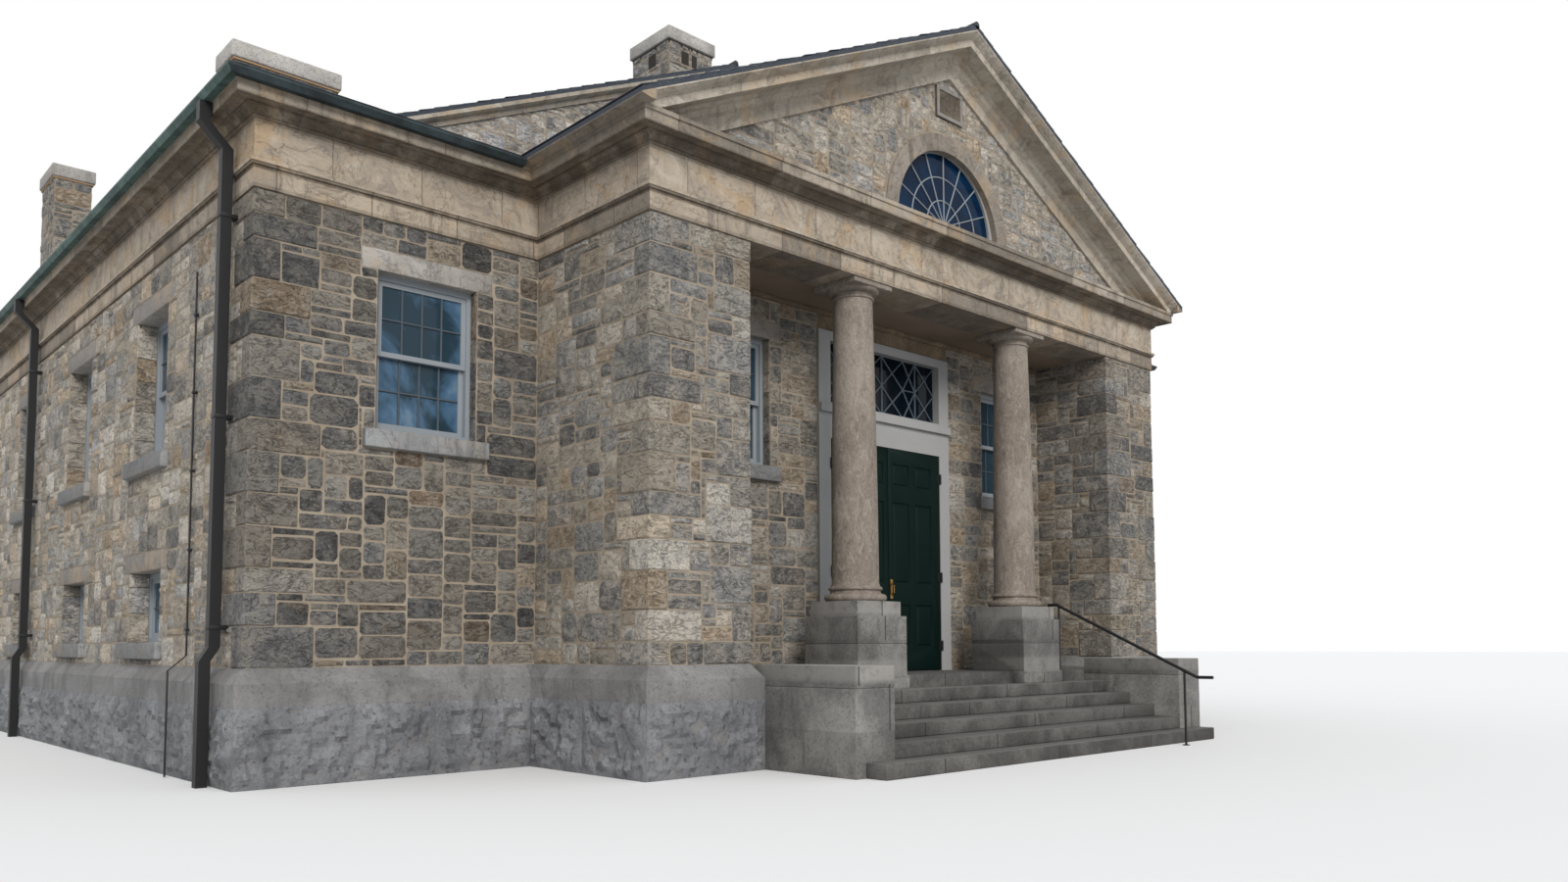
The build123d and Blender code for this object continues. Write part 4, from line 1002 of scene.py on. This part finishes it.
def buildGableStones():
    heap = Heap()
    # The upper gable behind the portico, above the lower roofs
    face = frontFace(-bodyHalf, bodyHalf, gableFront)
    pentTop = eaveLevel + roof["slab"] + roof["mainSlope"] * (gableFront - bodyFront + roof["coronaOut"])

    def onUpperGable(u, v):
        x = u - bodyHalf
        floor = max(pentTop, porticoUnder(x) + roof["slab"])
        inHeight = floor - gables["below"] < v < mainUnder(x) - gables["under"]
        return inHeight and abs(x) < bodyHalf - gables["ends"]

    def onBackGable(u, v):
        return v < mainUnder(u - bodyHalf) - gables["under"]

    faceWall(heap, face, "gable", eaveLevel, mainUnder(0), allowed=onUpperGable)
    # The gable at the back
    face = backFace(-bodyHalf, bodyHalf, bodyBack)
    faceWall(heap, face, "back", eaveLevel, mainUnder(0), allowed=onBackGable)
    # The pediment's wall, round the arch and the date stone
    half = porticoHalf
    face = frontFace(-half, half, tympanumFace)
    archRadius = highOf("lunette_arch").x
    date = face.reach(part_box("date_stone"))

    def onPediment(u, v):
        x = u - half
        onArch = math.hypot(x, v - lunetteLevel) < archRadius + gables["arch"]
        return v < porticoUnder(x) - gables["rake"] and not onArch

    level = highOf("cornice_fronts").z - gables["sunk"]
    faceWall(heap, face, "pediment", level, porticoUnder(0), extra=[date], allowed=onPediment)
    heap.piece("gable_rubble", "stones", "rubble")


def boxFaceWalls(low, high):
    return (
        frontFace(low.x, high.x, low.y),
        backFace(low.x, high.x, high.y),
        sideFace(low.x, low.y, high.y, -1),
        sideFace(high.x, low.y, high.y, 1),
    )


# The ridge chimney is the one above this level. Its openings lie between shares of a side's length
chimney = {
    "tall": 9,
    "shown": 1.6,
    "wideVents": ((0.28, 0.45), (0.52, 0.64)),
    "narrowVents": ((0.36, 0.56),),
    "ventDrops": (0.3, 0.1),
    "ventSunk": 0.01,
    "ventProud": 0.003,
    "joint": (0.022, 0.02),
    # On the ridge chimney the band under the cap is painted shadow of the gap beneath the cap
    "tallShadowBand": (0.05, 0.004),
}


def chimneyVents(face, top):
    # The openings near the top of the ridge chimney, two on a wide side and one on a narrow one
    if top < chimney["tall"]:
        return []
    shares = chimney["wideVents" if abs(face.along.x) > 0.5 else "narrowVents"]
    low, high = (top - drop for drop in chimney["ventDrops"])
    return [(face.length * a, face.length * b, low, high) for a, b in shares]


def buildChimneyStones():
    heap = Heap()
    for low, high in chimneyBoxes:
        shown = max(low.z, high.z - chimney["shown"])
        for face in boxFaceWalls(low, high):
            faceWall(heap, face, "chimney", shown, high.z, extra=chimneyVents(face, high.z))
    heap.piece("chimney_rubble", "stones", "rubble")


# Slates: one slope at a time, from the eave up, with its ends given for each height
def slateSlope(heap, place, length, ends, skip=None):
    row = 0
    exposure = roof["slateExposure"]
    while row * exposure < length:
        tail = row * exposure
        head = min(tail + roof["slateLength"], length)
        tailEnds, headEnds = ends(tail), ends(head)
        u = min(tailEnds[0], headEnds[0]) - roof["slateWidth"] * (0.5 if row % 2 else 1.0)
        while u < max(tailEnds[1], headEnds[1]):
            width = roof["slateWidth"] + chance.uniform(-roof["slateSpread"], roof["slateSpread"])
            cut = []
            for along, (first, last) in ((tail, tailEnds), (head, headEnds)):
                left = min(max(u + roof["slateGap"], first), last)
                right = min(max(u + width - roof["slateGap"], first), last)
                cut.append((left, right, along))
            middle = (u + width / 2, (tail + head) / 2)
            wide = max(c[1] - c[0] for c in cut)
            if wide > roof["slateSpread"] and not (skip and skip(*middle)):
                lift = chance.uniform(-roof["slateLift"], roof["slateLift"])
                points = []
                for low in (0.0, roof["slateThick"]):
                    (tl, tr, ts), (hl, hr, hs) = cut
                    points += [
                        place(tl, ts, roof["slateTilt"] + low + lift),
                        place(tr, ts, roof["slateTilt"] + low - lift),
                        place(max(hr, hl + 0.001), hs, low - roof["slateSunk"]),
                        place(hl, hs, low - roof["slateSunk"]),
                    ]
                heap.add(points, boxFaces, chance.random(), 0.5)
            u += width
        row += 1


def slopePlace(side, edge, slope, under):
    # Turns a stretch along y, a climb from the eave and a height off the slope into a place
    flow = math.hypot(1, slope)
    lean = Vector((slope, 0, 1)).normalized()

    def place(u, s, out):
        x = edge - s / flow
        off = lean * out
        return Vector((side * (x + off.x), u, under(x) + roof["slab"] + off.z))

    return place


def buildRoofs():
    slope, porticoSlope, slab = roof["mainSlope"], roof["porticoSlope"], roof["slab"]
    flow, porticoFlow = math.hypot(1, slope), math.hypot(1, porticoSlope)
    hipReach = bodyHalf + roof["coronaOut"]
    eaveX = hipReach + roof["drip"]
    porticoEave = porticoHalf + roof["cymaOut"]
    rakeFront, rakeBack = gableFront - roof["rakeOut"], bodyBack + roof["rakeOut"]
    pentEdge = bodyFront - roof["coronaOut"]
    pentStart = pentEdge - roof["drip"]

    def pentTop(y):
        return eaveLevel + slab + slope * (y - pentEdge)

    def mainEnds(s):
        x = eaveX - s / flow
        return (max(pentStart, min(rakeFront, pentEdge + hipReach - x)), rakeBack)

    def porticoEnds(s):
        x = porticoEave - s / porticoFlow
        valley = pentEdge + (porticoUnder(x) + slab - eaveLevel - slab) / slope
        return (-roof["cymaOut"], min(valley, gableFront))

    def pentEnds(s):
        y = pentStart + s / flow
        valley = (porticoUnder(0) + slab - pentTop(y)) / porticoSlope
        return (min(valley, porticoEave), hipReach - (y - pentEdge))

    for side, name in ((-1, "left"), (1, "right")):

        def onChimney(u, s):
            x = side * (eaveX - s / flow)
            gap = roof["chimneyGap"]
            return any(
                low.x - gap < x < high.x + gap and low.y - gap < u < high.y + gap
                for low, high in chimneyBoxes
            )

        def onPent(u, s, out):
            y = pentStart + s / flow
            lean = Vector((0, -slope, 1)).normalized() * out
            return Vector((side * u, y + lean.y, pentTop(y) + lean.z))

        def onStub(u, s):
            y = pentStart + s / flow
            return any(
                low.x < side * u < high.x and low.y - roof["stubGap"] < y for low, high in chimneyBoxes
            )

        heap = Heap()
        slateSlope(heap, slopePlace(side, eaveX, slope, mainUnder), eaveX * flow, mainEnds, onChimney)
        onPortico = slopePlace(side, porticoEave, porticoSlope, porticoUnder)
        slateSlope(heap, onPortico, porticoEave * porticoFlow, porticoEnds)
        slateSlope(heap, onPent, (gableFront - pentStart) * flow, pentEnds, onStub)
        editWhole(heap.piece(f"slates_{name}", "slates", "slate", angle=20), faceOutward)


buildStonework()
buildGableStones()
buildChimneyStones()
buildRoofs()


plinth = {
    "rockLow": 0.004,
    "rockTop": 0.69,
    "length": 1.05,
    "spread": 0.12,
    "joint": 0.012,
    "rough": 0.06,
    "step": 0.045,
    "out": 0.1,
    "rim": 0.003,
    "draft": (0.5, 1.0),
    "back": 0.02,
    "noise": (0.45, 2.1, 5),
}


def rockBlock(heap, face, u0, u1, v0, v1, seed):
    # A rock-faced block: a grid pushed out by layered noise, drafted back at its edges
    columns = max(3, round((u1 - u0) / plinth["step"]))
    rows = max(3, round((v1 - v0) / plinth["step"]))
    points = []
    for j in range(rows + 1):
        for i in range(columns + 1):
            u = u0 + (u1 - u0) * i / columns
            v = v0 + (v1 - v0) * j / rows
            margin = min(i, columns - i, j, rows - j)
            spot = Vector((u * 5 + seed * 17.3, v * 7, seed))
            rough = noise.fractal(spot, *plinth["noise"]) * 0.85 + 0.45
            out = plinth["draft"][min(margin, 2) - 1] * plinth["rough"] * rough if margin else plinth["rim"]
            points.append(face.at(u, v, out))
    faces = []
    for j in range(rows):
        for i in range(columns):
            a = j * (columns + 1) + i
            faces.append((a, a + 1, a + columns + 2, a + columns + 1))
    rim = [
        *range(columns + 1),
        *[j * (columns + 1) + columns for j in range(1, rows + 1)],
        *[rows * (columns + 1) + i for i in range(columns - 1, -1, -1)],
        *[j * (columns + 1) for j in range(rows - 1, 0, -1)],
    ]
    start = len(points)
    points += [points[i] - face.outward * plinth["back"] for i in rim]
    count = len(rim)
    for k in range(count):
        n = (k + 1) % count
        faces.append((rim[n], rim[k], start + k, start + n))
    faces.append(tuple(start + k for k in range(count - 1, -1, -1)))
    heap.add(points, face.facing(faces), chance.random(), chance.random())


def buildPlinth():
    heap = Heap()
    out = plinth["out"]
    runs = [
        sideFace(-bodyHalf - out, bodyFront - out, bodyBack + out, -1),
        sideFace(bodyHalf + out, bodyFront - out, bodyBack + out, 1),
        backFace(-bodyHalf - out, bodyHalf + out, bodyBack + out),
        frontFace(-bodyHalf - out, -porticoHalf - out, bodyFront - out),
        frontFace(porticoHalf + out, bodyHalf + out, bodyFront - out),
    ]
    for side in (-1, 1):
        x0, x1 = sorted((side * (pierInner - out), side * (porticoHalf + out)))
        runs.append(frontFace(x0, x1, -out))
        runs.append(sideFace(side * (porticoHalf + out), -out, bodyFront - out, side))
    for face in runs:
        count = max(1, round(face.length / plinth["length"]))
        cuts = [face.length * i / count for i in range(count + 1)]
        spread = plinth["spread"]
        cuts = [cuts[0], *[c + chance.uniform(-spread, spread) for c in cuts[1:-1]], cuts[-1]]
        gap = plinth["joint"] / 2
        for k in range(count):
            u0, u1 = cuts[k] + gap, cuts[k + 1] - gap
            rockBlock(heap, face, u0, u1, plinth["rockLow"], plinth["rockTop"] - gap, chance.uniform(0, 50))
    heap.piece("rock_faced_plinth", "rockFace", "plinth_stone", angle=22)


buildPlinth()


reveals = {
    "proud": 0.012,
    "sunk": 0.02,
    "back": 0.006,
    "block": (0.2, 0.34),
    "joint": 0.008,
    "bevel": 0.005,
    "leastDepth": 0.03,
    "leastBlock": 0.7,
}


def buildReveals():
    # Squared blocks down both sides of each window opening, from the wall's face in to the frame
    heap = Heap()
    for low, high in windowBoxes:
        alongX = high.x - low.x > high.y - low.y
        middle = (low + high) / 2
        if alongX:
            wall = min((0, bodyFront, entranceFace, bodyBack), key=lambda y: abs(y - middle.y))
            frameFace = low.y if wall < bodyBack else high.y
            region = "back" if wall == bodyBack else "porch" if wall == entranceFace else "wing"
        else:
            wall = math.copysign(bodyHalf, middle.x)
            frameFace = low.x if wall < 0 else high.x
            region = "side"
        if abs(wall - frameFace) < reveals["leastDepth"]:
            continue
        inward = math.copysign(1, frameFace - wall)
        across = sorted((frameFace, wall + inward * reveals["back"]))
        for edge, turn in ((low.y, 1), (high.y, -1)) if not alongX else ((low.x, 1), (high.x, -1)):
            along = sorted((edge - turn * reveals["sunk"], edge + turn * reveals["proud"]))
            level = low.z
            while level < high.z - 0.01:
                top = level + chance.uniform(*reveals["block"])
                if high.z - top < reveals["block"][0] * reveals["leastBlock"]:
                    top = high.z
                spans = (along, across) if alongX else (across, along)
                joint = reveals["joint"] / 2
                start = (spans[0][0], spans[1][0], level + joint)
                end = (spans[0][1], spans[1][1], top - joint)
                heap.add(*roughBlock(start, end, reveals["bevel"]), *pickTone(region))
                level = top
    heap.piece("window_reveals", "stones", "rubble")


buildReveals()


# Bars of the sashes, the transom and the half-round window
bars = {"width": 0.019, "upright": 0.016, "level": 0.015, "sideColumns": 4, "porchColumns": 3, "rows": 2}


def barBetween(heap, start, end, width, outward, depth):
    # A straight bar with chamfered front edges, its back flat
    start, end, outward = Vector(start), Vector(end), Vector(outward)
    run = (end - start).normalized()
    across = run.cross(outward).normalized() * width / 2
    section = [(-1.0, 0.0), (1.0, 0.0), (1.0, 0.6), (0.45, 1.0), (-0.45, 1.0), (-1.0, 0.6)]
    points = [point + across * s + outward * depth * d for point in (start, end) for s, d in section]
    faces = [(i, (i + 1) % 6, 6 + (i + 1) % 6, 6 + i) for i in range(6)]
    faces += [(5, 4, 3, 2, 1, 0), (6, 7, 8, 9, 10, 11)]
    heap.add(points, [tuple(reversed(f)) for f in faces])


def buildSashBars():
    heap = Heap()
    for low, high in islandBoxes("window_glass"):
        size = high - low
        alongX = size.x > size.y
        middle = (low + high) / 2
        if alongX:
            outward = Vector((0, -1 if middle.y < bodyBack / 2 else 1, 0))
            along = Vector((1, 0, 0))
            width = size.x
        else:
            outward = Vector((math.copysign(1, middle.x), 0, 0))
            along = Vector((0, 1, 0))
            width = size.y
        onPorch = abs(middle.y - entranceFace) < 0.4
        columns = bars["porchColumns"] if onPorch else bars["sideColumns"]
        rows = bars["rows"] if high.z - low.z > 0.45 else 1
        face = middle + outward * 0.003
        up, across = Vector((0, 0, size.z / 2)), along * width / 2
        for i in range(1, columns):
            spot = face + along * (width * i / columns - width / 2)
            barBetween(heap, spot - up, spot + up, bars["width"], outward, bars["upright"])
        for j in range(1, rows):
            spot = face + Vector((0, 0, size.z * j / rows - size.z / 2))
            barBetween(heap, spot - across, spot + across, bars["width"], outward, bars["level"])
    # The bars take the sashes' paint darkened: painted shade
    heap.piece("sash_bars", "shadedSashPaint", "window_paint")


# The depths are those of the uprights, the rising and falling bars and the level ones
transom = {
    "uprights": (0.0, 0.65),
    "knots": (0.0, 0.41, 0.65, 1.026),
    "width": 0.016,
    "depths": (0.02, 0.017, 0.015, 0.018),
}


def buildTransomBars():
    heap = Heap()
    low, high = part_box("transom_glass")
    y = low.y - 0.001
    middle = (low.z + high.z) / 2
    knots = transom["knots"]
    upright, rising, falling, level = transom["depths"]

    def bar(x0, z0, x1, z1, depth):
        barBetween(heap, (x0, y, z0), (x1, y, z1), transom["width"], (0, -1, 0), depth)

    for side in (-1, 1):
        for x in transom["uprights"][0 if side > 0 else 1:]:
            bar(side * x, low.z, side * x, high.z, upright)
        for x0, x1 in zip(knots, knots[1:]):
            for z0, z1 in ((low.z, middle), (middle, high.z)):
                bar(side * x0, z0, side * x1, z1, rising)
                bar(side * x0, z1, side * x1, z0, falling)
        bar(side * knots[1], middle, side * knots[2], middle, level)
    heap.piece("transom_lattice", "barPaint", "window_paint")


fan = {"rays": 7, "hub": 0.05, "rings": (0.36, 0.68), "steps": 32, "width": 0.015, "depth": 0.014}


def buildLunetteBars():
    heap = Heap()
    low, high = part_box("lunette_glass")
    y = low.y - 0.001
    radius = high.x
    centre = low.z

    def spot(angle, reach):
        return (reach * math.cos(angle), y, centre + reach * math.sin(angle))

    for k in range(1, fan["rays"] + 1):
        angle = math.pi * k / (fan["rays"] + 1)
        barBetween(heap, spot(angle, fan["hub"]), spot(angle, radius), fan["width"], (0, -1, 0), fan["depth"])
    steps = fan["steps"]
    for share in fan["rings"]:
        for k in range(steps):
            start, end = (spot(math.pi * turn / steps, radius * share) for turn in (k, k + 1))
            barBetween(heap, start, end, fan["width"], (0, -1, 0), fan["depth"] * 0.9)
    heap.piece("lunette_bars", "windowPaint", "window_paint")


buildSashBars()
buildTransomBars()
buildLunetteBars()


# Copies of nodes with softened edges stand for the plain ones. Angles are in degrees
softening = {"weld": 0.00002, "flat": 1, "segments": 2, "edgeAngle": 30}


def softenedCopy(name, finish, slot, bevel, body="building"):
    thing = nodes[name].copy()
    thing.data = nodes[name].data.copy()
    thing.name = f"{name}_worn"
    thing.parent = None
    bpy.context.scene.collection.objects.link(thing)

    def clean():
        bpy.ops.mesh.remove_doubles(threshold=softening["weld"])
        bpy.ops.mesh.dissolve_limited(angle_limit=math.radians(softening["flat"]))

    editWhole(thing, clean)
    edge = thing.modifiers.new("edge", "BEVEL")
    edge.width = bevel
    edge.segments = softening["segments"]
    edge.limit_method = "ANGLE"
    edge.angle_limit = math.radians(softening["edgeAngle"])
    bpy.ops.object.modifier_apply(modifier="edge")
    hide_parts(name)
    settle(thing, finish, slot, 40, body)
    print(thing.name, len(thing.data.polygons), "faces")


for nodeName, finishName, slotName, width in (
    ("step_treads", "steps", "granite", 0.012),
    ("cheek_walls", "blocks", "granite", 0.008),
    ("pedestals", "blocks", "granite", 0.008),
    ("window_lintels", "lintels", "smooth_stone", 0.008),
    ("window_sills", "sills", "smooth_stone", 0.01),
    ("chimney_caps", "caps", "cap_stone", 0.015),
):
    softenedCopy(nodeName, finishName, slotName, width)


# Mouldings as pairs of a radius and a height. On shaft and capital the radius is added to foot or head,
# and the fillets hang down from the top of the base
column = {
    "segments": 64,
    "place": 1.5,
    "foot": 0.261,
    "head": 0.216,
    "torus": (0.345, 0.084),
    "scotia": ((0.286, 0.084), (0.281, 0.096)),
    "fillets": ((0.279, 0.062), (0.275, 0.058)),
    "bead": (0.298, 0.046),
    "flare": ((0.014, 0.0), (0.01, 0.012), (0.003, 0.03)),
    "flareTop": 0.045,
    "swell": 1.6,
    "neckBead": (0.014, 0.024),
    "beadOut": 0.004,
    "beadLift": 0.002,
    "neck": ((0.001, 0.03), (0.001, 0.062), (0.014, 0.066)),
    "echinus": 0.066,
    "abacus": 0.055,
    "slabHalf": 0.31,
    "slabBevel": 0.006,
}


def drawnUp(name, start, radius, sides, steps):
    # A closed piece drawn out of a disc, each step a move and a growth
    circle = bpy.ops.mesh.primitive_circle_add
    thing = added(name, circle, vertices=sides, radius=radius, fill_type="NGON", location=start)

    def draw():
        for move, growth in steps:
            bpy.ops.mesh.extrude_region_move(TRANSFORM_OT_translate={"value": move})
            bpy.ops.transform.resize(value=(growth, growth, 1))
        faceOutward()

    editWhole(thing, draw)
    toOrigin()
    return thing


def halfRound(radius, low, height, steps=8):
    half = height / 2
    turns = [math.pi * k / steps for k in range(steps + 1)]
    return [(radius - half + half * math.sin(turn), low + half - half * math.cos(turn)) for turn in turns]


def columnProfiles():
    # Radius and height, from the bottom up, of each part of a column
    foot, head = column["foot"], column["head"]
    low, baseTop, shaftTop = lowOf("column_bases").z, highOf("column_bases").z, highOf("column_shafts").z
    radius, height = column["bead"]
    base = [
        *halfRound(column["torus"][0], low, column["torus"][1]),
        *[(r, low + z) for r, z in column["scotia"]],
        *[(r, baseTop - z) for r, z in column["fillets"]],
        *halfRound(radius, baseTop - height, height),
    ]
    shaft = [(foot + r, baseTop + z) for r, z in column["flare"]]
    start = baseTop + column["flareTop"]
    rise = shaftTop - baseTop - column["flareTop"]
    for share in (k / 12 for k in range(13)):
        shaft.append((foot - (foot - head) * share ** column["swell"], start + rise * share))
    radius, height = column["neckBead"]
    bead = halfRound(head + radius, shaftTop + column["beadLift"], height)
    capital = [
        (head, shaftTop),
        *[(r + column["beadOut"], z) for r, z in bead],
        *[(head + r, shaftTop + z) for r, z in column["neck"]],
    ]
    radius, neckTop = capital[-1]
    lift = highOf("column_capitals").z - column["abacus"] - neckTop
    for turn in (math.radians(90 * k / 8) for k in range(1, 9)):
        capital.append((radius + column["echinus"] * math.sin(turn), neckTop + lift * (1 - math.cos(turn))))
    return {"column_bases": base, "column_shafts": shaft, "column_capitals": capital}


def buildColumns():
    firsts = {}
    half = column["slabHalf"]
    for side, word in ((-1, "left"), (1, "right")):
        x = side * column["place"]
        for node, profile in columnProfiles().items():
            y = (lowOf(node).y + highOf(node).y) / 2
            radius, level = profile[0]
            steps = [((0, 0, z1 - z0), r1 / r0) for (r0, z0), (r1, z1) in zip(profile, profile[1:])]
            piece = drawnUp(f"{node[:-1]}_{word}", (x, y, level), radius, column["segments"], steps)
            firsts.setdefault(node, settle(piece, "columns", "column_granite", 30))
        top = highOf("column_capitals").z
        heap = Heap()
        low, high = (x - half, y - half, top - column["abacus"]), (x + half, y + half, top)
        heap.add(*roughBlock(low, high, column["slabBevel"]))
        heap.piece(f"abacus_{word}", "columns", "column_granite")
    for node, piece in firsts.items():
        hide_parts(node)


buildColumns()


for word in ("left", "right"):
    softenedCopy(f"door_leaf_{word}", "doorPaint", "door_paint", 0.003, f"{word}_door")


# Small trims
trims = {
    "dateRim": 0.045,
    "dateProud": 0.014,
    "moulding": (0.06, 0.04),
    "ridgeRadius": 0.045,
    "ridgeLift": 0.01,
    "strapLevels": (1.35, 3.2, 5.0),
    "strapHeight": 0.035,
    "strapThick": 0.006,
    "strapBevel": 0.003,
    "pipeInner": 0.065,
    "pipeSize": 0.095,
}


def block(name, finish, slot, low, high, bevel=0.0):
    low, high = Vector(low), Vector(high)
    thing = added(name, bpy.ops.mesh.primitive_cube_add, size=1, location=(low + high) / 2, scale=high - low)
    toOrigin()
    if bevel:
        editWhole(thing, lambda: bpy.ops.mesh.bevel(offset=bevel, segments=2))
    settle(thing, finish, slot)


def buildDateRim():
    low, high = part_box("date_stone")
    rim = trims["dateRim"]
    front, back = low.y - trims["dateProud"], low.y + 0.01
    sides = (
        ("left", low.x, low.x + rim, low.z, high.z),
        ("right", high.x - rim, high.x, low.z, high.z),
        ("top", low.x + rim, high.x - rim, high.z - rim, high.z),
        ("bottom", low.x + rim, high.x - rim, low.z, low.z + rim),
    )
    for word, x0, x1, z0, z1 in sides:
        block(f"date_rim_{word}", "lintels", "smooth_stone", (x0, front, z0), (x1, back, z1), 0.005)


def buildPorchMoulding():
    height, out = trims["moulding"]
    under = lowOf("porch_ceiling").z
    block(
        "porch_moulding", "porchStone", "smooth_stone",
        (-pierInner, entranceFace - out, under - height), (pierInner, entranceFace + 0.01, under), 0.012,
    )


def slabOn(face, part, sunk, proud):
    # A thin closed slab on a wall face
    u0, u1, v0, v1 = part
    rim = ((u0, v0), (u1, v0), (u1, v1), (u0, v1))
    points = [face.at(u, v, out) for out in (-sunk, proud) for u, v in rim]
    return points, face.facing(boxFaces)


def buildChimneyTrims():
    vents = Heap()
    for k, (low, high) in enumerate(chimneyBoxes):
        tall = high.z > chimney["tall"]
        # On the ridge chimney this band is painted shadow: a dark sheet where the gap under the cap lies in
        # shade. On the others it is orange mortar
        drop, side = chimney["tallShadowBand" if tall else "joint"]
        start, end = (low.x - side, low.y - side, high.z - drop), (high.x + side, high.y + side, high.z)
        block(f"chimney_mortar_and_shadow_band_{k}", "sootAndPaintedShade" if tall else "orangeMortar", "rubble", start, end)
        for face in boxFaceWalls(low, high):
            for vent in chimneyVents(face, high.z):
                # Each vent is a thin dark slab: painted shade inside the opening
                vents.add(*slabOn(face, vent, chimney["ventSunk"], chimney["ventProud"]))
    vents.piece("chimney_vents", "sootAndPaintedShade", "rubble")


def buildRidges():
    # A lead roll along each ridge, broken where the ridge chimney stands
    lift = roof["slab"] + trims["ridgeLift"]
    tall = max(chimneyBoxes, key=lambda box: box[1].z)
    runs = (
        (gableFront - roof["rakeOut"], tall[0].y, mainUnder(0) + lift),
        (tall[1].y, bodyBack + roof["rakeOut"], mainUnder(0) + lift),
        (-roof["cymaOut"], gableFront, porticoRidge + lift - roof["slab"]),
    )
    for k, (start, end, level) in enumerate(runs):
        roll = added(
            f"ridge_roll_{k}", bpy.ops.mesh.primitive_cylinder_add, vertices=16, radius=trims["ridgeRadius"],
            depth=end - start, location=(0, (start + end) / 2, level), rotation=(math.pi / 2, 0, 0),
        )
        toOrigin()
        settle(roll, "lead", "slate", 40)


def buildStraps():
    inner = bodyHalf + trims["pipeInner"]
    thick = trims["strapThick"]
    for k, (low, high) in enumerate(islandBoxes("downpipes")):
        side = math.copysign(1, low.x)
        middle = (low.y + high.y) / 2
        half = trims["pipeSize"] / 2 + thick
        for j, level in enumerate(trims["strapLevels"]):
            ends = sorted((side * (bodyHalf + 0.002), side * (inner + trims["pipeSize"] + thick)))
            start = (ends[0], middle - half, level)
            end = (ends[1], middle + half, level + trims["strapHeight"])
            block(f"pipe_strap_{k}_{j}", "iron", "black_iron", start, end, trims["strapBevel"])


# The rod drops to the bend, leans out over the plinth and drops to the foot
rod = {
    "y": 3.36,
    "top": 4.78,
    "bend": 1.12,
    "lean": 0.14,
    "drop": 0.97,
    "radius": 0.009,
    "gap": 0.03,
    "plinthOut": 0.185,
    "clips": (1.35, 2.1, 2.85, 3.6, 4.35),
    "clipSize": (0.016, 0.02, 0.025),
}


def buildRod():
    # The conductor down the left wall and over the plinth
    x, y = -bodyHalf - rod["gap"], rod["y"]
    out = bodyHalf + rod["plinthOut"] + x
    moves = ((0, 0, rod["bend"] - rod["top"]), (-out, 0, -rod["lean"]), (0, 0, -rod["drop"]))
    thing = drawnUp("conductor_rod", (x, y, rod["top"]), rod["radius"], 10, [(move, 1) for move in moves])
    settle(thing, "iron", "black_iron", 40)
    reach, half, height = rod["clipSize"]
    for k, z in enumerate(rod["clips"]):
        low, high = (x - reach, y - half, z), (-bodyHalf + 0.01, y + half, z + height)
        block(f"rod_clip_{k}", "iron", "black_iron", low, high, 0.004)


buildRod()
buildDateRim()
buildPorchMoulding()
buildChimneyTrims()
buildRidges()
buildStraps()
print("trims built")


# Floor, light and camera
stage = {"floorSize": 280.0, "floorMiddle": (0, 8, 0), "white": 0.86, "bounce": 0.55}
lights = {"sky": 0.78, "sun": 2.1, "sunAngle": 24.0, "sunTurn": (60.0, 0.0, -27.0)}


def buildStage():
    place = stage["floorMiddle"]
    floor = added("studio_floor", bpy.ops.mesh.primitive_plane_add, size=stage["floorSize"], location=place)
    toOrigin()
    paint = Paint("studioFloor")
    seen = paint.add("ShaderNodeLightPath", {}, {}, "Is Camera Ray")
    white, bounce = stage["white"], stage["bounce"]
    colour = paint.mix(seen, (bounce, bounce, bounce), (white, white, white))
    colour = paint.mix(paint.noise(0.6, 3.0) * 0.05, colour, (0.7, 0.7, 0.7))
    floor.data.materials.append(paint.finish(colour, 0.9, Specular_IOR_Level=0.1))


def buildWorld():
    world = bpy.data.worlds.new("studio")
    bpy.context.scene.world = world
    paint = Paint("studio", world, "ShaderNodeOutputWorld")
    seen = paint.add("ShaderNodeLightPath", {}, {}, "Is Camera Ray")
    for ray in ("Is Glossy Ray", "Is Transmission Ray"):
        seen = seen.most(paint.add("ShaderNodeLightPath", {}, {}, ray))
    lit = paint.add("ShaderNodeBackground", {}, {"Color": (0.93, 0.96, 1.0, 1.0), "Strength": lights["sky"]})
    white = paint.add("ShaderNodeBackground", {}, {"Color": (1.0, 1.0, 1.0, 1.0), "Strength": 1.0})
    both = paint.add("ShaderNodeMixShader", {}, {0: seen, 1: lit, 2: white})
    paint.tree.links.new(both.socket, paint.output.inputs["Surface"])


def buildLights():
    sun = added("soft_sun", bpy.ops.object.light_add, type="SUN", location=(0, 0, 20))
    sun.data.energy = lights["sun"]
    sun.data.angle = math.radians(lights["sunAngle"])
    sun.data.color = (1.0, 0.965, 0.92)
    sun.rotation_euler = Euler([math.radians(a) for a in lights["sunTurn"]])


# Where the photograph was taken from: place, turn, lens and the shift of its frame
view = {
    "place": (-10.743, -8.246, 1.2),
    "tilt": 93.705,
    "heading": -43.663,
    "roll": -0.241,
    "lens": 26.216,
    "sensor": 36.0,
    "shift": 0.0827,
    "far": 500,
}


def buildCamera():
    camera = added("camera", bpy.ops.object.camera_add, location=view["place"])
    turn = Matrix.Identity(4)
    for key, axis in (("heading", "Z"), ("tilt", "X"), ("roll", "Z")):
        turn = turn @ Matrix.Rotation(math.radians(view[key]), 4, axis)
    camera.rotation_euler = turn.to_euler()
    camera.data.lens = view["lens"]
    camera.data.sensor_width = view["sensor"]
    camera.data.shift_y = view["shift"]
    camera.data.clip_end = view["far"]
    bpy.context.scene.camera = camera


buildStage()
buildWorld()
buildLights()
buildCamera()
bpy.context.scene.view_settings.view_transform = "Standard"
print("stage, lights and camera set")
